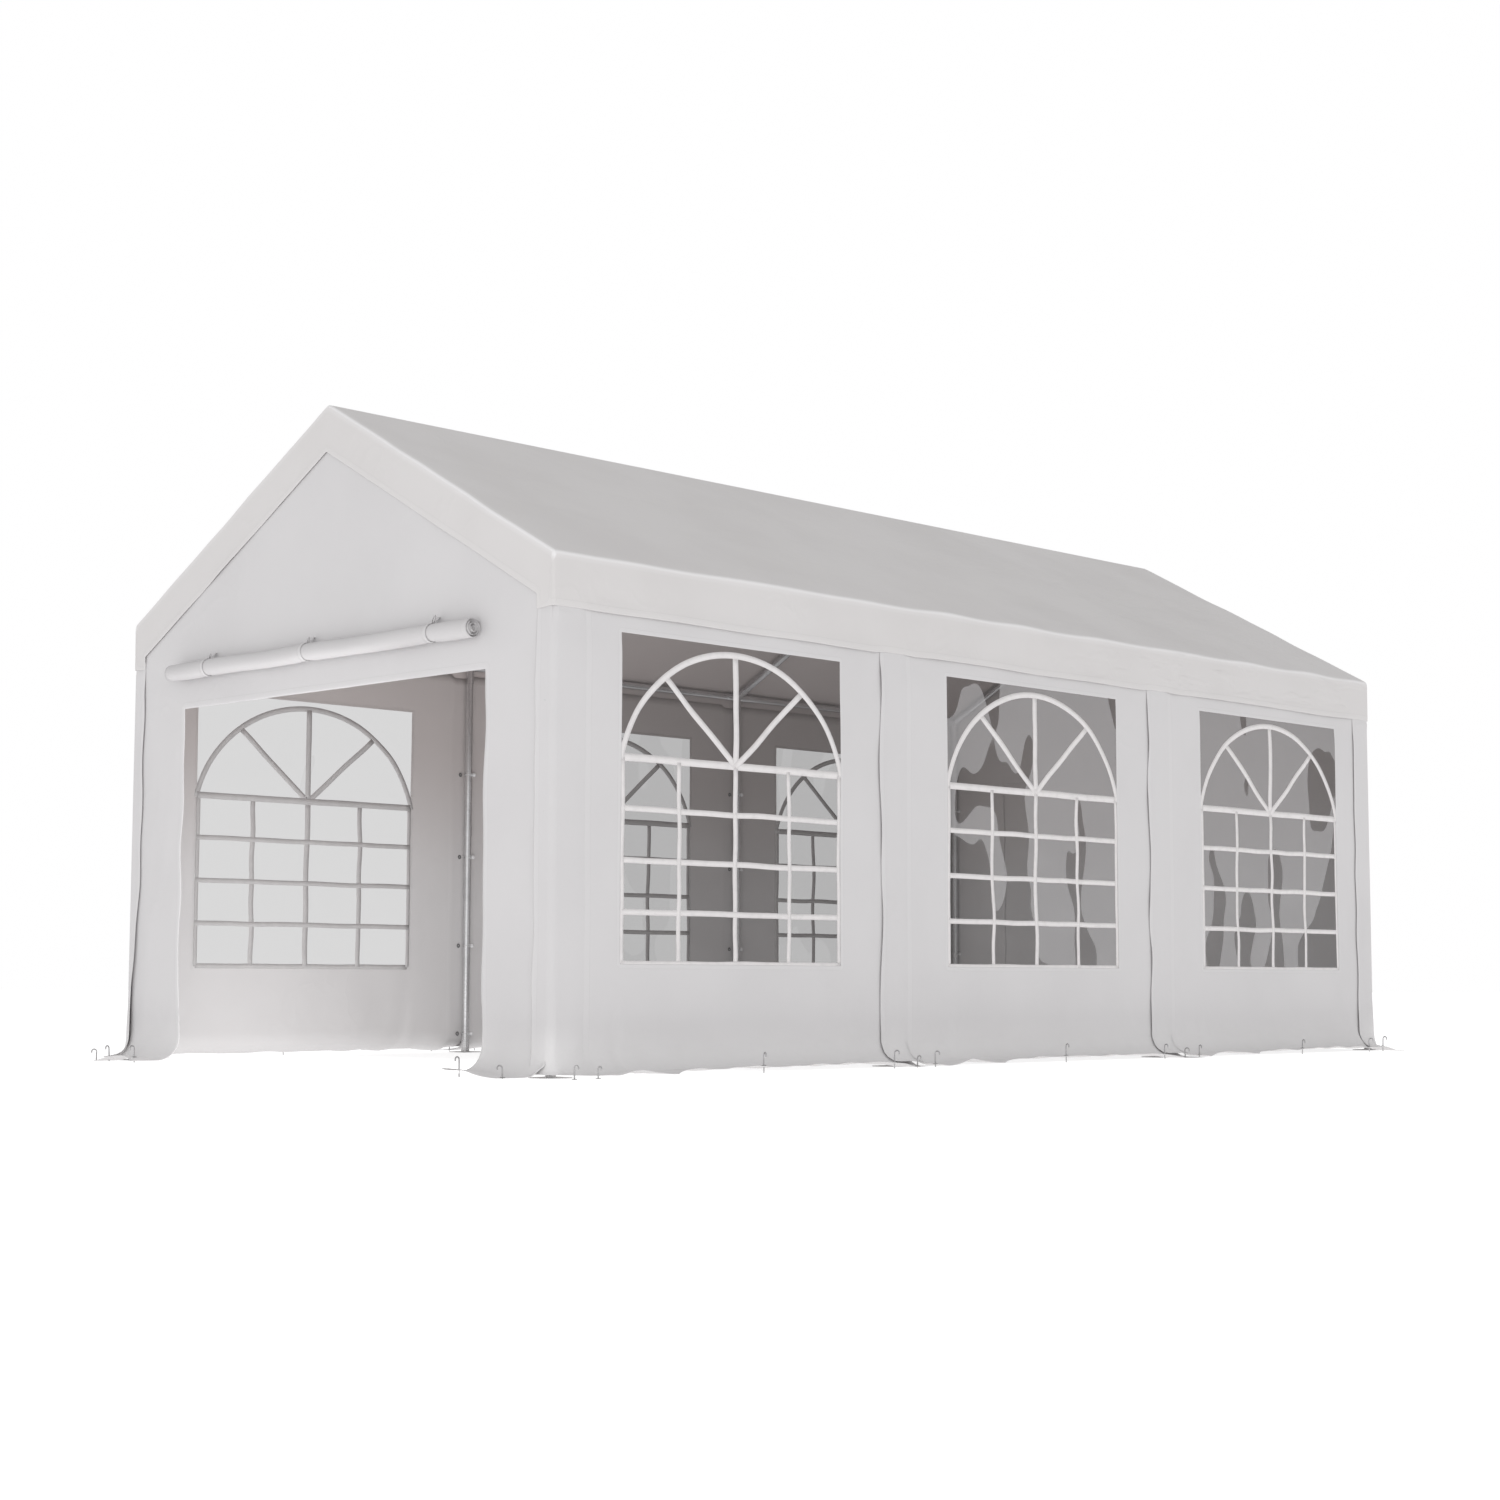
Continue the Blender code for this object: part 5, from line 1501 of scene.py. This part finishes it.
# %% Webbing straps
STRAP_HALF = 0.011
STRAP_THICK = 0.0011
RIB_TURNS = 2200.0


def make_webbing():
    """White webbing: ribs along the strap's UV, with painted shade darkening the grooves between
    them.
    """
    material, tree, shader = principled("ribbed_webbing")
    place = add(tree, "ShaderNodeTexCoord")
    wave = calc(tree, "SINE", calc(tree, "MULTIPLY", axis(tree, place.outputs["UV"], "Y"),
                                   RIB_TURNS))
    rib_with_groove_shade = calc(tree, "MULTIPLY_ADD", wave, 0.5, 0.5)
    # Painted shade: the grooves between the ribs are darker.
    colour = blend_colour(tree, rib_with_groove_shade, (0.60, 0.588, 0.592, 1.0), (0.68, 0.668, 0.672, 1.0))
    tree.links.new(colour, shader.inputs["Base Color"])
    shader.inputs["Roughness"].default_value = 0.8
    emboss(tree, shader, rib_with_groove_shade, 0.0005, 0.7)
    return material


WEBBING = make_webbing()


def strap_part(centre, across, half):
    """Points, faces and UV of a band: a line of centres (n, 3), widened by half along the unit
    vectors across (n, 3)."""
    share = np.linspace(-1.0, 1.0, 5)
    length = np.concatenate([[0.0], np.cumsum(np.linalg.norm(np.diff(centre, axis=0), axis=1))])
    points = centre[:, None, :] + share[None, :, None] * half * across[:, None, :]
    uv = np.stack(np.broadcast_arrays(share[None, :] * half, length[:, None]), -1)
    return points.reshape(-1, 3), grid_faces(len(centre), 5), uv.reshape(-1, 2)


def make_strap(number, x, size):
    """One strap: a ring round the roll, a short sewn end on the wall and a soft loop on top."""
    turn = np.linspace(math.radians(200), math.radians(-200), 49)
    middle = np.array([x, ROLL_Y, ROLL_Z])
    ring = middle + (roll_point(x + 0.0 * turn, turn,
                                1.0) - middle) * (1.0 + (STRAP_THICK + 0.0006) / ROLL_RADIUS)
    ring[:, 0] = x + 0.002 * np.sin(turn)
    sideways = np.repeat([[1.0, 0.0, 0.0]], len(turn), 0)
    at_top = ring[np.argmin(np.abs(turn - math.radians(100)))]
    bow = np.linspace(-0.35, 2.0 * math.pi + 0.1, 26)
    lean = 0.010 * size * (1.0 - np.cos(bow))
    loop = at_top + np.stack([0.0065 * size * np.sin(bow) + 0.8 * lean, -0.001 - 0.2 * lean,
                              1.25 * lean], -1)
    loop_across = np.repeat([[0.55, -0.75, -0.36]], len(bow), 0)
    fall = np.linspace(0.0, 1.0, 9)[:, None]
    top_of_end = np.array([x - 0.002, -HALF_LENGTH + LAYER - 0.0036, ROLL_Z + 0.070])
    end = top_of_end + fall * (at_top - top_of_end + np.array([0.0, 0.0, 0.002]))
    parts = [strap_part(ring, sideways, STRAP_HALF),
             strap_part(loop, loop_across, STRAP_HALF * 0.5 * size),
             strap_part(end, sideways[:9], STRAP_HALF * 0.9)]
    points, faces = join_parts([(part[0], [part[1]]) for part in parts])
    uv = np.concatenate([part[2] for part in parts])
    piece = make_piece(f"door_tie_{number}_strap", points, faces, [WEBBING], uv)
    finish_sheet(piece, STRAP_THICK)
    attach(piece, "root")
    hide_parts(f"door_tie_{number}")


for number, (x, size) in enumerate(zip(TIE_XS, (0.9, 1.0, 1.3)), 1):
    make_strap(number, x, size)

# %% [markdown]
# ## Pegs, eyelets and ball cords
#
# Steel pegs with a hooked head hold the skirts, each through an eyelet in the hem. Inside, ball
# cords tie the walls to the legs: an elastic loop round the tube with a white ball, and a dark
# eyelet in the cloth beside it. Rods are circles carried along a line, rings are circles carried
# round a circle, and balls are rings of latitude. Each kind is one mesh for the whole tent.

# %% Rods, rings and balls
def rod(line, flat_normal, radius, sides=8):
    """A round rod along a line (n, 3) that lies in a plane with the given normal. Both ends are
    closed by a point."""
    line = np.asarray(line, float)
    tangent = np.gradient(line, axis=0)
    tangent = tangent / np.linalg.norm(tangent, axis=1, keepdims=True)
    first = np.asarray(flat_normal, float)
    second = np.cross(tangent, first)
    turn = np.arange(sides) * 2.0 * math.pi / sides
    skin = line[:, None, :] + radius * (np.cos(turn)[None, :, None] * first
                                        + np.sin(turn)[None, :, None] * second[:, None, :])
    count = len(line) * sides
    points = np.concatenate([skin.reshape(-1, 3), line[:1] - radius * 0.4 * tangent[:1],
                             line[-1:] + radius * 0.4 * tangent[-1:]])
    k = np.arange(sides)
    start = np.stack([np.full(sides, count), (k + 1) % sides, k], -1)
    end = np.stack([np.full(sides, count + 1), count - sides + k, count - sides + (k + 1) % sides],
                   -1)
    return points, [grid_faces(len(line), sides, wrap=True)[:, ::-1], start, end]


def ring(centre, normal, radius, thick, flat=1.0, around=20, sides=6):
    """A ring about a normal: radius to its middle, thick its half width, flat its half height as a
    share of that."""
    normal = np.asarray(normal, float) / np.linalg.norm(normal)
    first = np.cross(normal, (0.0, 0.0, 1.0) if abs(normal[2]) < 0.9 else (1.0, 0.0, 0.0))
    first = first / np.linalg.norm(first)
    second = np.cross(normal, first)
    a = (np.arange(around) * 2.0 * math.pi / around)[:, None, None]
    b = (np.arange(sides) * 2.0 * math.pi / sides)[None, :, None]
    out = np.cos(a) * first + np.sin(a) * second
    points = np.asarray(centre) + out * (radius + thick
                                         * np.cos(b)) + normal * (thick * flat * np.sin(b))
    i, j = np.meshgrid(np.arange(around), np.arange(sides), indexing="ij")
    ii, jj = (i + 1) % around, (j + 1) % sides
    faces = np.stack([i * sides + j, ii * sides + j, ii * sides + jj, i * sides + jj],
                     -1).reshape(-1, 4)
    return points.reshape(-1, 3), [faces]


def ball(centre, radius, around=14, levels=8):
    """A ball with closed poles."""
    up = np.linspace(-math.pi / 2, math.pi / 2, levels + 1)[1:-1]
    a = np.arange(around) * 2.0 * math.pi / around
    skin = np.stack(np.broadcast_arrays(np.cos(up)[:, None] * np.cos(a),
                                        np.cos(up)[:, None] * np.sin(a), np.sin(up)[:, None]), -1)
    count = len(up) * around
    points = np.asarray(centre) + radius * np.concatenate([skin.reshape(-1, 3), [[0, 0, -1]],
                                                           [[0, 0, 1]]])
    k = np.arange(around)
    foot = np.stack([np.full(around, count), (k + 1) % around, k], -1)
    head = np.stack([np.full(around, count + 1), count - around + k,
                     count - around + (k + 1) % around], -1)
    return points, [grid_faces(len(up), around, wrap=True)[:, ::-1], foot, head]


# %% Pegs and eyelets in the skirts
PEG_RADIUS = 0.0030
PEG_HEAD = 0.011
cloth_points = np.concatenate(SHEET_POINTS)


def cloth_under(x, y, within=0.035):
    """Height and upward normal of the highest cloth about (x, y): a plane through the points of
    the sheets near it."""
    near = cloth_points[(np.abs(cloth_points[:, 0]
                                - x) < within) & (np.abs(cloth_points[:, 1] - y) < within)]
    near = near[near[:, 2] < 0.16]
    if len(near) < 6:
        return 0.001, np.array([0.0, 0.0, 1.0])
    flat = np.c_[near[:, 0] - x, near[:, 1] - y, np.ones(len(near))]
    a, b, c = np.linalg.lstsq(flat, near[:, 2], rcond=None)[0]
    nearest = near[np.argsort(np.hypot(near[:, 0] - x, near[:, 1] - y))[:8]]
    height = max(float(c), float(nearest[:, 2].max()))
    normal = np.array([-a, -b, 1.0])
    return height, normal / np.linalg.norm(normal)


def peg(x, y, top, heading, lean):
    """A peg from the ground up through (x, y): a straight shank, leaning a little, and a hook whose
    opening faces along the heading."""
    shank = np.linspace(0.0, 1.0, 6)[:, None] * np.array([0.0, top - PEG_HEAD])
    turn = np.linspace(0.0, math.radians(205), 12)[1:, None]
    hook = np.concatenate([PEG_HEAD - PEG_HEAD * np.cos(turn), top - PEG_HEAD + PEG_HEAD
                           * np.sin(turn)], -1)
    flat = np.concatenate([shank, hook])
    toward = np.array([math.cos(heading), math.sin(heading), 0.0])
    sideways = (flat[:, :1] + lean * flat[:, 1:]) * toward
    upwards = flat[:, 1:] * np.array([0.0, 0.0, 1.0])
    line = np.array([x, y, PEG_RADIUS * 0.5]) + sideways + upwards
    return rod(line, np.cross(toward, (0.0, 0.0, 1.0)), PEG_RADIUS)


peg_places = [(1.665, y) for y in (-3.02, -2.90, -2.0, -1.2, -1.05, -0.93, 0.0, 0.78, 0.95, 1.07,
                                   2.0, 2.66, 2.80)]
peg_places += [(-x, -y) for x, y in peg_places]
peg_places += [(x, -3.165) for x in (1.42, 1.16, -1.15, -1.36, -1.47)]
peg_places += [(x, 3.165) for x in (-1.42, -1.16, 1.15, 1.36, 0.0)]
draw = np.random.default_rng(77)
pegs, skirt_eyelets = [], []
for x, y in peg_places:
    height, normal = cloth_under(x, y)
    outward = math.atan2(y, 0.0) if abs(y) > 3.1 else math.atan2(0.0, x)
    peg_top = height + 0.042 + 0.012 * draw.random()
    heading = outward + 0.9 * (draw.random() - 0.5)
    pegs.append(peg(x, y, peg_top, heading, 0.10 * (draw.random() - 0.3)))
    skirt_eyelets.append(ring((x, y, height + 0.0012), normal, 0.0085, 0.0032, 0.45))


def add_fittings(name, parts, material):
    """One mesh for the whole tent from many small shapes."""
    points, faces = join_parts(parts)
    piece = make_piece(name, points, faces, [material])
    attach(piece, "root")
    print(f"{name}: {len(parts)} of them, {len(piece.data.polygons)} faces")
    return piece


add_fittings("ground_pegs", pegs, WIRE)
add_fittings("skirt_eyelets", skirt_eyelets, WIRE)

# %% Ball cords on the legs
CORD_ZS = (1.45, 1.02, 0.55, 0.10)
balls, loops, wall_eyelets = [], [], []
for sign in (-1.0, 1.0):
    for y in POLE_YS:
        for z in CORD_ZS:
            z = z + 0.012 * (draw.random() - 0.5)
            tilt = 0.25 * (draw.random(2) - 0.5)
            inward = -sign
            step = 1.0 if sign < 0 else -1.0
            balls.append(ball((sign * POLE_X + inward * 0.0185, y + step * 0.0215, z), 0.0105))
            loops.append(ring((sign * POLE_X, y, z), (tilt[0], tilt[1], 1.0), 0.0207, 0.0017, 1.0,
                              24, 6))
            loops.append(ring((sign * POLE_X + inward * 0.017, y + step * 0.0205, z),
                              (0.2, 0.1, 1.0), 0.0108, 0.0015, 1.0, 16, 6))
            if abs(y) < 2.5:
                behind = (LAYER if sign > 0 else 0.0) + CLOTH + 0.0012
                eye_at = (sign * (HALF_WIDTH - behind), y - step * 0.033, z)
                wall_eyelets.append(ring(eye_at, (1.0, 0.0, 0.0), 0.0075, 0.0036, 0.4))
add_fittings("cord_balls", balls, BALL)
add_fittings("cord_loops", loops, ELASTIC)
add_fittings("wall_eyelets", wall_eyelets, DARK_EYE)
